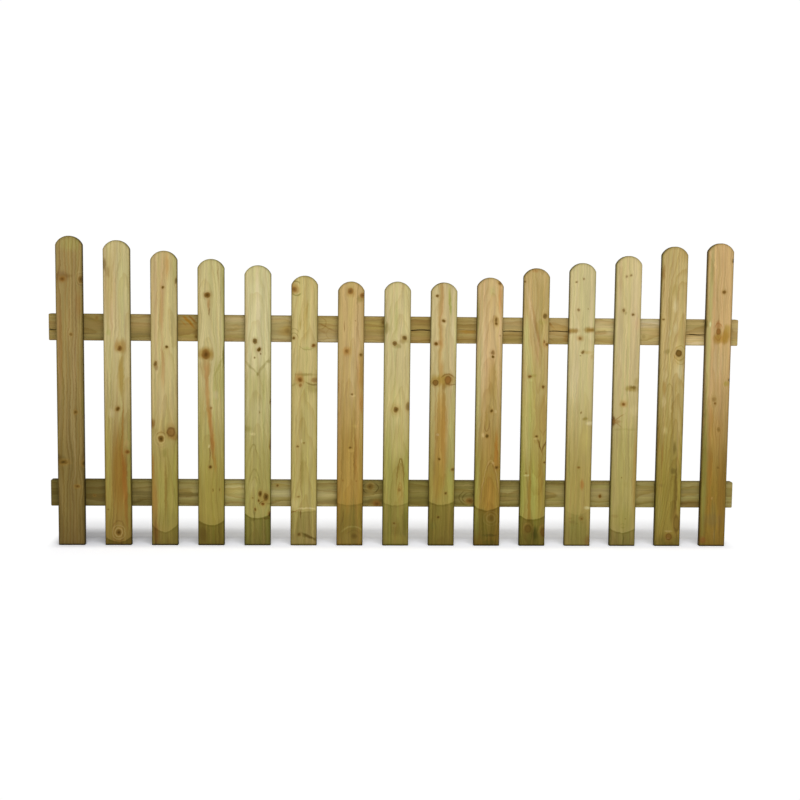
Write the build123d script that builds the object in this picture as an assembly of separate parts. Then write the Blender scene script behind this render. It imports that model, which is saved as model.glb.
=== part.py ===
"""Garden fence panel: round-headed pales in a dipped row, nailed to the front of two level rails.

The frame: X runs along the rails, +Z is up, and the pales face -Y. The origin is on the back face of
the lower rail, halfway along it and halfway up it, where the panel bears on its posts.
"""

import os
from math import sqrt

from build123d import *

# Driving dimensions, in millimetres

# The two rails are alike: planed boards on edge behind the pales
RAIL_LENGTH = 1830.0
RAIL_HEIGHT = 70.0
RAIL_THICKNESS = 28.0
RAIL_ARRIS = 3.0
RAIL_CENTRES = 440.0

# The pales are planed boards with a turned-over long edge and a round head
PALE_WIDTH = 70.0
PALE_THICKNESS = 19.0
PALE_ARRIS = 4.0
FOOT_EASE = 2.0
HEAD_EASE = 1.5

# The head's cutter is a little wider than the board, which leaves a slight shoulder on each side
HEAD_OVERSIZE = 2.5

# The cutting list for the dip, from the middle pale out to the pale at either end
PALE_LENGTHS = (705.0, 704.0, 718.0, 744.0, 759.0, 779.0, 805.0, 815.0)

# How the boards are set out
RAIL_OVERHANG = 22.5
FOOT_BELOW_LOWER_RAIL = 137.0


def pale_blank(length):
    """A board on end, its foot at Z = 0, with its four long edges rounded and its foot eased."""
    board = extrude(RectangleRounded(PALE_WIDTH, PALE_THICKNESS, PALE_ARRIS), length)
    foot = board.faces().sort_by(Axis.Z)[0]
    return fillet(foot.edges(), FOOT_EASE)


def head_waste(length):
    """What the cutter takes off the top of a blank: all that stands outside the head's arc."""
    radius = PALE_WIDTH / 2 + HEAD_OVERSIZE
    arc_centre = length - radius
    block = Pos(0, 0, arc_centre + radius) * Box(2 * radius, PALE_THICKNESS, 2 * radius)
    arc = Pos(0, 0, arc_centre) * Rot(90, 0, 0) * Cylinder(radius, PALE_THICKNESS)
    return block - arc


def shoulder_height(length):
    """How far above the foot the head's arc runs into the board's straight sides."""
    radius = PALE_WIDTH / 2 + HEAD_OVERSIZE
    return length - radius + sqrt(radius**2 - (PALE_WIDTH / 2) ** 2)


def pale(length):
    """One finished pale, its foot at Z = 0: the head is cut and the sawn edge round it is eased."""
    shaped = pale_blank(length) - head_waste(length)
    above_shoulders = shaped.faces().filter_by(lambda face: face.center().Z > shoulder_height(length))
    head = above_shoulders.sort_by(Axis.Z)[-1]
    return fillet(head.edges(), HEAD_EASE)


def rail():
    """One rail, centred on its length and height, with its back face on the plane Y = 0."""
    board = Box(RAIL_LENGTH, RAIL_THICKNESS, RAIL_HEIGHT)
    return Pos(0, -RAIL_THICKNESS / 2, 0) * fillet(board.edges(), RAIL_ARRIS)


def pale_places():
    """(place along the rails, length) of each pale, from left to right as seen from the front."""
    lengths = PALE_LENGTHS[:0:-1] + PALE_LENGTHS
    run = RAIL_LENGTH - 2 * RAIL_OVERHANG - PALE_WIDTH
    pitch = run / (len(lengths) - 1)
    return [(index * pitch - run / 2, length) for index, length in enumerate(lengths)]


def panel():
    """Every board of the panel, by the name of its node."""
    boards = {"lower_rail": rail(), "upper_rail": Pos(0, 0, RAIL_CENTRES) * rail()}
    seat = -RAIL_THICKNESS - PALE_THICKNESS / 2
    for number, (place, length) in enumerate(pale_places(), start=1):
        boards[f"pale_{number:02d}"] = Pos(place, seat, -FOOT_BELOW_LOWER_RAIL) * pale(length)
    return boards


os.makedirs("parts", exist_ok=True)
for name, board in panel().items():
    export_step(board, f"parts/{name}.step")
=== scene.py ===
"""Garden fence panel: the looks of its planed, pressure-treated softwood boards, in a white studio.

The CAD boards stay where they are and get their timber here, one board at a time, because each has
its own knots, streaks and tide mark in the photograph. A board's features are written in millimetres
on its own face: across from its middle line, and up from its foot. On a rail they are up from its
middle line, and along from its middle.
"""

from collections import namedtuple
from math import pi, radians, sin, sqrt

import bmesh
import bpy
from mathutils import Euler, Matrix, Vector


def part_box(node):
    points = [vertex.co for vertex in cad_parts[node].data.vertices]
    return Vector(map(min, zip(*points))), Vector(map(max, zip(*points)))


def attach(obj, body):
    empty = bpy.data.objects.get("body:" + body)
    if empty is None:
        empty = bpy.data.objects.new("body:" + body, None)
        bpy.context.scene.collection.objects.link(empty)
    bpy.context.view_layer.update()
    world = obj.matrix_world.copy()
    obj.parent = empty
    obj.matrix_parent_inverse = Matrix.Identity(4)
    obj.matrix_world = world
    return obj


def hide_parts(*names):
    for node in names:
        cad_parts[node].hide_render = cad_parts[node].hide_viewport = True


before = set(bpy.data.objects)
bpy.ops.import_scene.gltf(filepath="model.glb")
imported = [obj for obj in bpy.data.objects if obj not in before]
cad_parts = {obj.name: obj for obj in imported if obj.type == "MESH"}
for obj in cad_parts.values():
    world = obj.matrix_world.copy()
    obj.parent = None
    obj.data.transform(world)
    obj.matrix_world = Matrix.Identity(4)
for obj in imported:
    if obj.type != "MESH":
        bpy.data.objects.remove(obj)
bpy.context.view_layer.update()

MM = 0.001

# Tones that several boards share
SAP_GREEN = "#a6a65a"
OCHRE = "#a8883a"
RUST = "#905e24"
OLIVE = "#7f7236"
BROWN = "#7a5a28"

# Settings that many nodes share: a ramp with soft ends, a mix of two colours, and a colour times another
SOFT_RAMP = {"interpolation_type": "SMOOTHSTEP"}
COLOUR_MIX = {"data_type": "RGBA"}
COLOUR_TIMES = {"data_type": "RGBA", "blend_type": "MULTIPLY"}


def linear(colour):
    """An sRGB hex colour as linear red, green, blue and alpha."""
    parts = [int(colour[place : place + 2], 16) / 255 for place in (1, 3, 5)]
    bare = [part / 12.92 if part <= 0.04045 else ((part + 0.055) / 1.055) ** 2.4 for part in parts]
    return bare + [1.0]


def add(tree, kind, sockets=None, **settings):
    """Adds a node. A socket is given a value, a socket, or a node, which stands for its first output."""
    node = tree.nodes.new(kind)
    for name, value in settings.items():
        setattr(node, name, value)
    for place, value in (sockets or {}).items():
        if isinstance(value, bpy.types.Node):
            value = value.outputs[0]
        if isinstance(value, bpy.types.NodeSocket):
            tree.links.new(value, node.inputs[place])
        else:
            node.inputs[place].default_value = value
    return node


def new_group(name, takes, gives, kind="ShaderNodeTree"):
    """An empty node group with its named sockets, and its input and output nodes."""
    tree = bpy.data.node_groups.new(name, kind)
    for way, sockets in (("INPUT", takes), ("OUTPUT", gives)):
        for socket, sort in sockets.items():
            tree.interface.new_socket(socket, in_out=way, socket_type="NodeSocket" + sort)
    return tree, add(tree, "NodeGroupInput").outputs, tree.nodes.new("NodeGroupOutput")


def new_material(name):
    """A new material, and its node tree."""
    material = bpy.data.materials.new(name)
    material.use_nodes = True
    return material, material.node_tree


def new_object(name, data):
    """A new object in the scene."""
    thing = bpy.data.objects.new(name, data)
    bpy.context.scene.collection.objects.link(thing)
    return thing


def settle(thing, modifier):
    """Gives an object the plain mesh that its modifier makes, and removes the modifier."""
    made = thing.evaluated_get(bpy.context.evaluated_depsgraph_get())
    plain = bpy.data.meshes.new_from_object(made)
    thing.modifiers.remove(modifier)
    thing.data = plain


# Camera and studio, in metres

CAMERA_PLACE = (-0.162, -3.737, 0.623)
CAMERA_PITCH = -0.0992
CAMERA_TURN = -0.0462
CAMERA_ROLL = 0.0111
PHOTO_SIDE = 800
FOCAL_PIXELS = 1400

FLOOR_RADIUS = 30
BACKDROP_RADIUS = 29
WHITE_GLOW = 1.02
EVEN_LIGHT = 0.25
SOFTBOX_SIZE = (3.4, 1.8)
SOFTBOX_POWER = 128
SOFTBOX_PLACE = Vector((0.3, -3.2, 3.3))
SOFTBOX_AIM = Vector((0, 0, 0.25))

# Where the floor starts to fade into the backdrop, and where it is white, on each side of the panel
FADE_BEHIND = (0.16, 0.4)
FADE_IN_FRONT = (-0.6, -1.4)
FADE_PAST_ENDS = (0.88, 0.93)

# A lift whitens the floor. It is weaker in three bands along the panel, which paint a soft shadow there:
# the middle of each, how far from it the band is full and where it ends, and how much weaker the lift is
# there
FLOOR_LIFT = 0.42
FEET_SHADOW_BAND = (0.0, 0.05, 0.1, 0.14)
REAR_SHADOW_BAND = (0.09, 0.07, 0.13, 0.1)
LEFT_SHADOW_BAND = (0.05, 0.05, 0.15, 0.22)

# The left band is full at the panel's left end and dies away towards its middle, so the painted shadow is
# darker on the left. All three end just past the panel's ends
LEFT_SHADOW_START = -0.9
LEFT_SHADOW_END = -0.25
SHADOW_BANDS_FULL = 0.9
SHADOW_BANDS_END = 1.0


def make_camera():
    """The photograph's camera: a little left of the middle and above the panel, looking slightly down."""
    lens = bpy.data.cameras.new("camera")
    lens.sensor_width = 36
    lens.lens = lens.sensor_width * FOCAL_PIXELS / PHOTO_SIDE
    camera = new_object("camera", lens)
    level = Euler((pi / 2 + CAMERA_PITCH, 0, CAMERA_TURN)).to_matrix()
    aim = level @ Matrix.Rotation(CAMERA_ROLL, 3, "Z")
    camera.matrix_world = Matrix.Translation(CAMERA_PLACE) @ aim.to_4x4()
    bpy.context.scene.camera = camera


def backdrop_material():
    """Bright white paper that only shines."""
    material, tree = new_material("white_backdrop")
    tree.nodes.clear()
    light = add(tree, "ShaderNodeEmission", {"Color": linear("#ffffff"), "Strength": WHITE_GLOW})
    add(tree, "ShaderNodeOutputMaterial", {"Surface": light})
    return material


def floor_material():
    """White painted board that catches the panel's shadow, has a soft shadow painted along the panel's
    foot, and fades into the backdrop further off.
    """
    material, tree = new_material("white_floor")
    tree.nodes.clear()
    place = add(tree, "ShaderNodeTexCoord").outputs["Object"]
    parts = add(tree, "ShaderNodeSeparateXYZ", {0: place}).outputs
    outward = add(tree, "ShaderNodeMath", {0: parts["X"]}, operation="ABSOLUTE")
    faded = 0.0
    for way, (start, end) in ((parts["Y"], FADE_BEHIND), (parts["Y"], FADE_IN_FRONT),
                              (outward, FADE_PAST_ENDS)):
        fade = add(tree, "ShaderNodeMapRange", {0: way, 1: start, 2: end}, **SOFT_RAMP)
        faded = add(tree, "ShaderNodeMath", {0: fade, 1: faded}, operation="MAXIMUM")
    # Painted shadow: the lift is weaker in bands along the panel's foot, and most of all at its left end
    bands = []
    for middle, full, end, loss in (FEET_SHADOW_BAND, REAR_SHADOW_BAND, LEFT_SHADOW_BAND):
        past = add(tree, "ShaderNodeMath", {0: parts["Y"], 1: middle}, operation="SUBTRACT")
        away = add(tree, "ShaderNodeMath", {0: past}, operation="ABSOLUTE")
        bands.append(add(tree, "ShaderNodeMapRange", {0: away, 1: full, 2: end, 3: loss, 4: 0.0},
                         **SOFT_RAMP))
    feet, rear, left = bands
    leftward = add(tree, "ShaderNodeMapRange", {
        0: parts["X"], 1: LEFT_SHADOW_START, 2: LEFT_SHADOW_END, 3: 1.0, 4: 0.0})
    under = add(tree, "ShaderNodeMapRange", {0: outward, 1: SHADOW_BANDS_FULL, 2: SHADOW_BANDS_END, 3: 1.0, 4: 0.0},
                **SOFT_RAMP)
    left_end = add(tree, "ShaderNodeMath", {0: left, 1: leftward}, operation="MULTIPLY")
    both = add(tree, "ShaderNodeMath", {0: feet, 1: rear}, operation="ADD")
    loss = add(tree, "ShaderNodeMath", {0: both, 1: left_end}, operation="ADD")
    kept = add(tree, "ShaderNodeMath", {0: loss, 1: under}, operation="MULTIPLY")
    strength = add(tree, "ShaderNodeMath", {0: FLOOR_LIFT, 1: kept}, operation="SUBTRACT")
    paint = add(tree, "ShaderNodeBsdfDiffuse", {"Color": linear("#f8f9fe")})
    lift = add(tree, "ShaderNodeEmission", {"Color": linear("#ffffff"), "Strength": strength})
    lifted = add(tree, "ShaderNodeAddShader", {0: paint, 1: lift})
    shine = add(tree, "ShaderNodeEmission", {"Color": linear("#ffffff"), "Strength": WHITE_GLOW})
    mixed = add(tree, "ShaderNodeMixShader", {0: faded, 1: lifted, 2: shine})
    add(tree, "ShaderNodeOutputMaterial", {"Surface": mixed})
    return material


def make_studio():
    """A white floor and backdrop, a large soft light high in front, and a low even light all round."""
    foot = (0, 0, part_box("pale_01")[0].z)
    bpy.ops.mesh.primitive_circle_add(vertices=96, radius=FLOOR_RADIUS, fill_type="NGON", location=foot)
    floor = bpy.context.object
    floor.name = "floor"
    floor.data.materials.append(floor_material())
    bpy.ops.mesh.primitive_uv_sphere_add(segments=64, ring_count=32, radius=BACKDROP_RADIUS, location=foot)
    backdrop = bpy.context.object
    backdrop.name = "backdrop"
    backdrop.data.materials.append(backdrop_material())
    backdrop.visible_diffuse = False
    backdrop.visible_glossy = False
    backdrop.visible_shadow = False
    world = bpy.data.worlds.new("studio")
    world.use_nodes = True
    background = world.node_tree.nodes["Background"]
    background.inputs["Color"].default_value = (1, 1, 1, 1)
    background.inputs["Strength"].default_value = EVEN_LIGHT
    bpy.context.scene.world = world
    key = bpy.data.lights.new("softbox", "AREA")
    key.shape = "RECTANGLE"
    key.size, key.size_y = SOFTBOX_SIZE
    key.energy = SOFTBOX_POWER
    lamp = new_object("softbox", key)
    lamp.location = SOFTBOX_PLACE
    lamp.rotation_euler = (SOFTBOX_AIM - SOFTBOX_PLACE).to_track_quat("-Z", "Y").to_euler()
    bpy.context.scene.view_settings.view_transform = "Standard"


# Timber

# How far the grain is pushed aside by a knot: knot radii to each side and along, and the push at its heart
PART_ACROSS = 2.2
PART_ALONG = 4.5
PART_PUSH = 0.8

# The wood's patterns, in millimetres: how wide and how long each is, its detail and its roughness. A
# trunk isn't straight, and its rings wander over the length of a hand. Fibre is drawn 2.4 mm wide, coarser
# than the real cells, so that it shows from where the photo was taken
WANDER = (45, 160, 2.0, 0.5)
FIBRE = (2.4, 90, 3.0, 0.5)
BANDS = (9, 420, 3.0, 0.6)
RING_WANDER = 7.0

# What multiplies the wood's colour: where it turns cooler or warmer, in late wood, in a damp foot that is
# greener or browner, and painted shade: near the ground, along the edges, on the sides and along the
# bottom of the foot
COOLER = (0.97, 1.01, 0.92, 1)
WARMER = (1.03, 0.985, 1.04, 1)
LATE_WOOD = (0.72, 0.6, 0.38, 1)
DAMP_GREEN = (0.43, 0.46, 0.24, 1)
DAMP_BROWN = (0.51, 0.46, 0.3, 1)
GROUND_SHADE = (0.84, 0.8, 0.78, 1)
EDGE_PAINTED_SHADE = (0.76, 0.77, 0.68, 1)
EDGE_PAINTED_LINE = (0.5, 0.48, 0.36, 1)
SIDE_PAINTED_SHADE = (0.5, 0.48, 0.38, 1)
FOOT_EDGE_SHADE = (0.3, 0.3, 0.22, 1)

# A knot's dark heart and lighter body, each as brown and as red wood, and what stands round it
HEART_TONES = ("#4a3708", "#6e4414")
BODY_TONES = ("#705620", "#8e5f28")
KNOT_AURA = "#94702e"
KNOT_RING = "#b9a468"


def knot_group():
    """One knot: bends the grain round itself, and keeps the distance to the nearest knot in knot radii."""
    floats = ("Distance", "Depth", "Red", "Halo")
    own = ("Radius", "Tallness", "Own depth", "Own red", "Own halo")
    takes = dict.fromkeys(("Place", "Point", "Centre"), "Vector") | dict.fromkeys(floats + own, "Float")
    gives = {"Point": "Vector"} | dict.fromkeys(floats, "Float")
    tree, given, result = new_group("knot", takes, gives)
    away = add(tree, "ShaderNodeVectorMath", {0: given["Place"], 1: given["Centre"]}, operation="SUBTRACT")
    parts = add(tree, "ShaderNodeSeparateXYZ", {0: away}).outputs
    up = add(tree, "ShaderNodeMath", {0: parts["Z"], 1: given["Tallness"]}, operation="DIVIDE")
    flat = add(tree, "ShaderNodeCombineXYZ", {0: parts["X"], 2: up})
    reach = add(tree, "ShaderNodeVectorMath", {0: flat}, operation="LENGTH").outputs["Value"]
    radii = add(tree, "ShaderNodeMath", {0: reach, 1: given["Radius"]}, operation="DIVIDE")
    nearer = add(tree, "ShaderNodeMath", {0: radii, 1: given["Distance"]}, operation="LESS_THAN")
    nearest = add(tree, "ShaderNodeMath", {0: radii, 1: given["Distance"]}, operation="MINIMUM")
    tree.links.new(nearest.outputs[0], result.inputs["Distance"])
    for name in ("Depth", "Red", "Halo"):
        chosen = add(tree, "ShaderNodeMix", {0: nearer, 2: given[name], 3: given["Own " + name.lower()]})
        tree.links.new(chosen.outputs[0], result.inputs[name])
    # The grain parts over about two radii to each side, and closes again four radii above and below
    across = add(tree, "ShaderNodeMath", {0: given["Radius"], 1: PART_ACROSS}, operation="MULTIPLY")
    along = add(tree, "ShaderNodeMath", {0: given["Radius"], 1: PART_ALONG}, operation="MULTIPLY")
    far_x = add(tree, "ShaderNodeMath", {0: parts["X"], 1: across}, operation="DIVIDE")
    far_z = add(tree, "ShaderNodeMath", {0: parts["Z"], 1: along}, operation="DIVIDE")
    far = add(tree, "ShaderNodeCombineXYZ", {0: far_x, 2: far_z})
    square = add(tree, "ShaderNodeVectorMath", {0: far, 1: far}, operation="DOT_PRODUCT").outputs["Value"]
    minus = add(tree, "ShaderNodeMath", {0: square, 1: -1.0}, operation="MULTIPLY")
    pull = add(tree, "ShaderNodeMath", {0: minus}, operation="EXPONENT")
    share = add(tree, "ShaderNodeMath", {0: pull, 1: -PART_PUSH}, operation="MULTIPLY")
    shift = add(tree, "ShaderNodeMath", {0: parts["X"], 1: share}, operation="MULTIPLY")
    move = add(tree, "ShaderNodeCombineXYZ", {0: shift})
    bent = add(tree, "ShaderNodeVectorMath", {0: given["Point"], 1: move}, operation="ADD")
    tree.links.new(bent.outputs[0], result.inputs["Point"])
    return tree


def streak_group():
    """One streak or stain: an oval that can lean, ragged along the grain, mixed in by its strength."""
    takes = {"Color": "Color", "Tone": "Color", "Point": "Vector", "Centre": "Vector", "Ragged": "Float",
             "Half width": "Float", "Half length": "Float", "Lean": "Float", "Strength": "Float"}
    tree, given, result = new_group("streak", takes, {"Color": "Color"})
    away = add(tree, "ShaderNodeVectorMath", {0: given["Point"], 1: given["Centre"]}, operation="SUBTRACT")
    parts = add(tree, "ShaderNodeSeparateXYZ", {0: away}).outputs
    leaning = add(tree, "ShaderNodeMath", {0: parts["Z"], 1: given["Lean"]}, operation="MULTIPLY")
    side = add(tree, "ShaderNodeMath", {0: parts["X"], 1: leaning}, operation="SUBTRACT")
    across = add(tree, "ShaderNodeMath", {0: side, 1: given["Half width"]}, operation="DIVIDE")
    along = add(tree, "ShaderNodeMath", {0: parts["Z"], 1: given["Half length"]}, operation="DIVIDE")
    flat = add(tree, "ShaderNodeCombineXYZ", {0: across, 2: along})
    reach = add(tree, "ShaderNodeVectorMath", {0: flat}, operation="LENGTH").outputs["Value"]
    uneven = add(tree, "ShaderNodeMath", {0: reach, 1: given["Ragged"]}, operation="ADD")
    fade = add(tree, "ShaderNodeMapRange", {0: uneven, 1: 0.35, 2: 1.3, 3: 1.0, 4: 0.0}, **SOFT_RAMP)
    share = add(tree, "ShaderNodeMath", {0: fade, 1: given["Strength"]}, operation="MULTIPLY")
    mixed = add(tree, "ShaderNodeMix", {0: share, 6: given["Color"], 7: given["Tone"]}, **COLOUR_MIX)
    tree.links.new(mixed.outputs[2], result.inputs["Color"])
    return tree


def arc_group():
    """One late-wood line where it curves: a parabola from its summit, mixed in by its strength."""
    takes = {"Color": "Color", "Tone": "Color", "Point": "Vector", "Summit": "Vector", "Curve": "Float",
             "Half width": "Float", "Thickness": "Float", "Strength": "Float"}
    tree, given, result = new_group("arc", takes, {"Color": "Color"})
    away = add(tree, "ShaderNodeVectorMath", {0: given["Point"], 1: given["Summit"]}, operation="SUBTRACT")
    parts = add(tree, "ShaderNodeSeparateXYZ", {0: away}).outputs
    slope = add(tree, "ShaderNodeMath", {0: parts["X"], 1: given["Curve"]}, operation="MULTIPLY")
    fall = add(tree, "ShaderNodeMath", {0: parts["X"], 1: slope}, operation="MULTIPLY")
    above = add(tree, "ShaderNodeMath", {0: parts["Z"], 1: fall}, operation="ADD")
    # Across the line, a height counts for less where the line is steep: its slope is twice x times curve
    steep = add(tree, "ShaderNodeCombineXYZ", {0: 0.5, 1: slope})
    stretch = add(tree, "ShaderNodeVectorMath", {0: steep}, operation="LENGTH").outputs["Value"]
    half_off = add(tree, "ShaderNodeMath", {0: above, 1: stretch}, operation="DIVIDE")
    off = add(tree, "ShaderNodeMath", {0: half_off, 1: 0.5}, operation="MULTIPLY")
    apart = add(tree, "ShaderNodeMath", {0: off}, operation="ABSOLUTE")
    thin = add(tree, "ShaderNodeMath", {0: apart, 1: given["Thickness"]}, operation="DIVIDE")
    line = add(tree, "ShaderNodeMapRange", {0: thin, 1: 0.3, 2: 1.2, 3: 1.0, 4: 0.0}, **SOFT_RAMP)
    aside = add(tree, "ShaderNodeMath", {0: parts["X"]}, operation="ABSOLUTE")
    out = add(tree, "ShaderNodeMath", {0: aside, 1: given["Half width"]}, operation="DIVIDE")
    window = add(tree, "ShaderNodeMapRange", {0: out, 1: 0.6, 2: 1.0, 3: 1.0, 4: 0.0}, **SOFT_RAMP)
    seen = add(tree, "ShaderNodeMath", {0: line, 1: window}, operation="MULTIPLY")
    share = add(tree, "ShaderNodeMath", {0: seen, 1: given["Strength"]}, operation="MULTIPLY")
    mixed = add(tree, "ShaderNodeMix", {0: share, 6: given["Color"], 7: given["Tone"]}, **COLOUR_MIX)
    tree.links.new(mixed.outputs[2], result.inputs["Color"])
    return tree


def grain_group():
    """Growth rings cut by the board's faces, with fibre and broad bands, all in millimetres."""
    takes = {"Point": "Vector", "Pith": "Vector", "Drift": "Vector", "Ring": "Float", "Seed": "Float"}
    gives = dict.fromkeys(("Rings", "Fibre", "Bands", "Hue"), "Float")
    tree, given, result = new_group("grain", takes, gives)
    patterns = []
    for width, length, detail, roughness in (WANDER, FIBRE, BANDS):
        scaled = add(tree, "ShaderNodeVectorMath", {
            0: given["Point"], 1: (1 / width, 1 / width, 1 / length)}, operation="MULTIPLY")
        patterns.append(add(tree, "ShaderNodeTexNoise", {
            "Vector": scaled, "W": given["Seed"], "Scale": 1.0, "Detail": detail, "Roughness": roughness},
            noise_dimensions="4D"))
    wander, fibre, bands = patterns
    parts = add(tree, "ShaderNodeSeparateXYZ", {0: given["Point"]}).outputs
    drift = add(tree, "ShaderNodeVectorMath", {0: given["Drift"], "Scale": parts["Z"]}, operation="SCALE")
    pith = add(tree, "ShaderNodeVectorMath", {0: given["Pith"], 1: drift}, operation="ADD")
    away = add(tree, "ShaderNodeVectorMath", {0: given["Point"], 1: pith}, operation="SUBTRACT")
    level = add(tree, "ShaderNodeVectorMath", {0: away, 1: (1, 1, 0)}, operation="MULTIPLY")
    radius = add(tree, "ShaderNodeVectorMath", {0: level}, operation="LENGTH").outputs["Value"]
    waver = add(tree, "ShaderNodeMapRange", {0: wander, 1: 0.0, 2: 1.0, 3: -RING_WANDER, 4: RING_WANDER})
    grown = add(tree, "ShaderNodeMath", {0: radius, 1: waver}, operation="ADD")
    year = add(tree, "ShaderNodeMath", {0: grown, 1: given["Ring"]}, operation="DIVIDE")
    season = add(tree, "ShaderNodeMath", {0: year}, operation="FRACT")
    # Through a year the wood darkens slowly, then quickly, and is pale again when the next one starts
    curve = add(tree, "ShaderNodeValToRGB", {0: season})
    stops = curve.color_ramp.elements
    stops[0].color = (0.0, 0.0, 0.0, 1)
    stops[1].position = 0.93
    stops[1].color = (1, 1, 1, 1)
    stops.new(0.45).color = (0.12, 0.12, 0.12, 1)
    stops.new(1.0).color = (0.0, 0.0, 0.0, 1)
    tint = add(tree, "ShaderNodeSeparateColor", {0: bands.outputs["Color"]})
    for name, value in (("Rings", curve.outputs[0]), ("Fibre", fibre.outputs[0]),
                        ("Bands", bands.outputs[0]), ("Hue", tint.outputs["Green"])):
        tree.links.new(value, result.inputs[name])
    return tree


def finish_group():
    """What comes over the tone of the wood: grain, knots, the damp foot, and painted shade near the
    ground, along the edges, on the sides and along the bottom of the foot.
    """
    floats = ("Rings", "Fibre", "Bands", "Hue", "Contrast", "Distance", "Depth", "Red", "Halo", "Edge",
              "Rim shade", "Side", "Ground shade", "Foot edge shade", "Damp")
    takes = {"Color": "Color"} | dict.fromkeys(floats, "Float")
    gives = {"Color": "Color", "Height": "Float", "Roughness": "Float"}
    tree, given, result = new_group("finish", takes, gives)
    banded = add(tree, "ShaderNodeMapRange", {0: given["Bands"], 1: 0.3, 2: 0.7, 3: 0.82, 4: 1.15})
    fibred = add(tree, "ShaderNodeMapRange", {0: given["Fibre"], 1: 0.3, 2: 0.7, 3: 0.84, 4: 1.13})
    shade = add(tree, "ShaderNodeMath", {0: banded, 1: fibred}, operation="MULTIPLY")
    lit = add(tree, "ShaderNodeVectorMath", {0: given["Color"], "Scale": shade}, operation="SCALE")
    lean = add(tree, "ShaderNodeMapRange", {0: given["Hue"], 1: 0.35, 2: 0.65})
    hue = add(tree, "ShaderNodeMix", {0: lean, 6: COOLER, 7: WARMER}, **COLOUR_MIX)
    tinted = add(tree, "ShaderNodeVectorMath", {0: lit, 1: hue.outputs[2]}, operation="MULTIPLY")
    late = add(tree, "ShaderNodeMath", {0: given["Rings"], 1: given["Contrast"]}, operation="MULTIPLY")
    ringed = add(tree, "ShaderNodeMix", {0: late, 6: tinted, 7: LATE_WOOD}, **COLOUR_TIMES)
    # Round a knot the wood is darker and warmer, and some knots have two pale rings round them
    near = add(tree, "ShaderNodeMapRange", {0: given["Distance"], 1: 0.9, 2: 2.3, 3: 0.38, 4: 0.0},
               **SOFT_RAMP)
    aura = add(tree, "ShaderNodeMath", {0: near, 1: given["Depth"]}, operation="MULTIPLY")
    warm = add(tree, "ShaderNodeMix", {0: aura, 6: ringed.outputs[2], 7: linear(KNOT_AURA)}, **COLOUR_MIX)
    quarter = add(tree, "ShaderNodeMath", {0: given["Distance"], 1: 0.25}, operation="MULTIPLY")
    ring = add(tree, "ShaderNodeValToRGB", {0: quarter})
    for stop, level in ((0.28, 0.0), (0.36, 1.0), (0.44, 0.0), (0.54, 0.0), (0.6, 0.7), (0.68, 0.0)):
        ring.color_ramp.elements.new(stop).color = (level, level, level, 1)
    ring.color_ramp.elements[-1].color = (0, 0, 0, 1)
    pale = add(tree, "ShaderNodeMath", {0: ring, 1: given["Halo"]}, operation="MULTIPLY", use_clamp=True)
    haloed = add(tree, "ShaderNodeMix", {0: pale, 6: warm.outputs[2], 7: linear(KNOT_RING)}, **COLOUR_MIX)
    heart, body = [
        add(tree, "ShaderNodeMix", {0: given["Red"], 6: linear(brown), 7: linear(red)}, **COLOUR_MIX)
        for brown, red in (HEART_TONES, BODY_TONES)]
    inner = add(tree, "ShaderNodeMapRange", {0: given["Distance"], 1: 0.1, 2: 0.8}, **SOFT_RAMP)
    # A wide knot, whose ring value is below zero, is the other way round: dark at its rim, lighter within
    rimmed = add(tree, "ShaderNodeMapRange", {0: given["Distance"], 1: 0.5, 2: 0.95, 3: 0.75, 4: 0.0},
                 **SOFT_RAMP)
    wide = add(tree, "ShaderNodeMath", {0: given["Halo"], 1: 0.0}, operation="LESS_THAN")
    across = add(tree, "ShaderNodeMix", {0: wide, 2: inner, 3: rimmed})
    disc = add(tree, "ShaderNodeMix", {0: across, 6: heart.outputs[2], 7: body.outputs[2]}, **COLOUR_MIX)
    inside = add(tree, "ShaderNodeMapRange", {0: given["Distance"], 1: 0.72, 2: 1.28, 3: 1.0, 4: 0.0},
                 **SOFT_RAMP)
    # The further below zero the ring value is, the more of the wood's own tone its middle keeps
    open_core = add(tree, "ShaderNodeMath", {0: given["Halo"], 1: rimmed}, operation="MULTIPLY")
    hollow = add(tree, "ShaderNodeMath", {0: open_core, 1: 0.0}, operation="MINIMUM")
    filled = add(tree, "ShaderNodeMath", {0: 1.0, 1: hollow}, operation="ADD")
    whole = add(tree, "ShaderNodeMath", {0: inside, 1: filled}, operation="MULTIPLY")
    share = add(tree, "ShaderNodeMath", {0: whole, 1: given["Depth"]}, operation="MULTIPLY")
    knotted = add(tree, "ShaderNodeMix", {0: share, 6: haloed.outputs[2], 7: disc.outputs[2]},
                  **COLOUR_MIX)
    # Damp darkens the wood unevenly, here greener and there browner
    patchy = add(tree, "ShaderNodeMapRange", {0: given["Bands"], 1: 0.35, 2: 0.65, 3: 1.15, 4: 0.78})
    wet = add(tree, "ShaderNodeMath", {0: given["Damp"], 1: patchy}, operation="MULTIPLY")
    stain = add(tree, "ShaderNodeMix", {0: lean, 6: DAMP_GREEN, 7: DAMP_BROWN}, **COLOUR_MIX)
    # Painted shade of the rounded edges: they darken over 9 mm, and once more over their last 4 mm
    edge_shade_band = add(tree, "ShaderNodeMapRange", {0: given["Edge"], 1: 0.0, 2: 9.0, 3: 1.0, 4: 0.0},
                   **SOFT_RAMP)
    soft = add(tree, "ShaderNodeMath", {0: edge_shade_band, 1: given["Rim shade"]}, operation="MULTIPLY")
    edge_shade_line = add(tree, "ShaderNodeMapRange", {0: given["Edge"], 1: 0.5, 2: 4.0, 3: 1.0, 4: 0.0},
                **SOFT_RAMP)
    line = add(tree, "ShaderNodeMath", {0: edge_shade_line, 1: given["Rim shade"]}, operation="MULTIPLY")
    colour = knotted.outputs[2]
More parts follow.
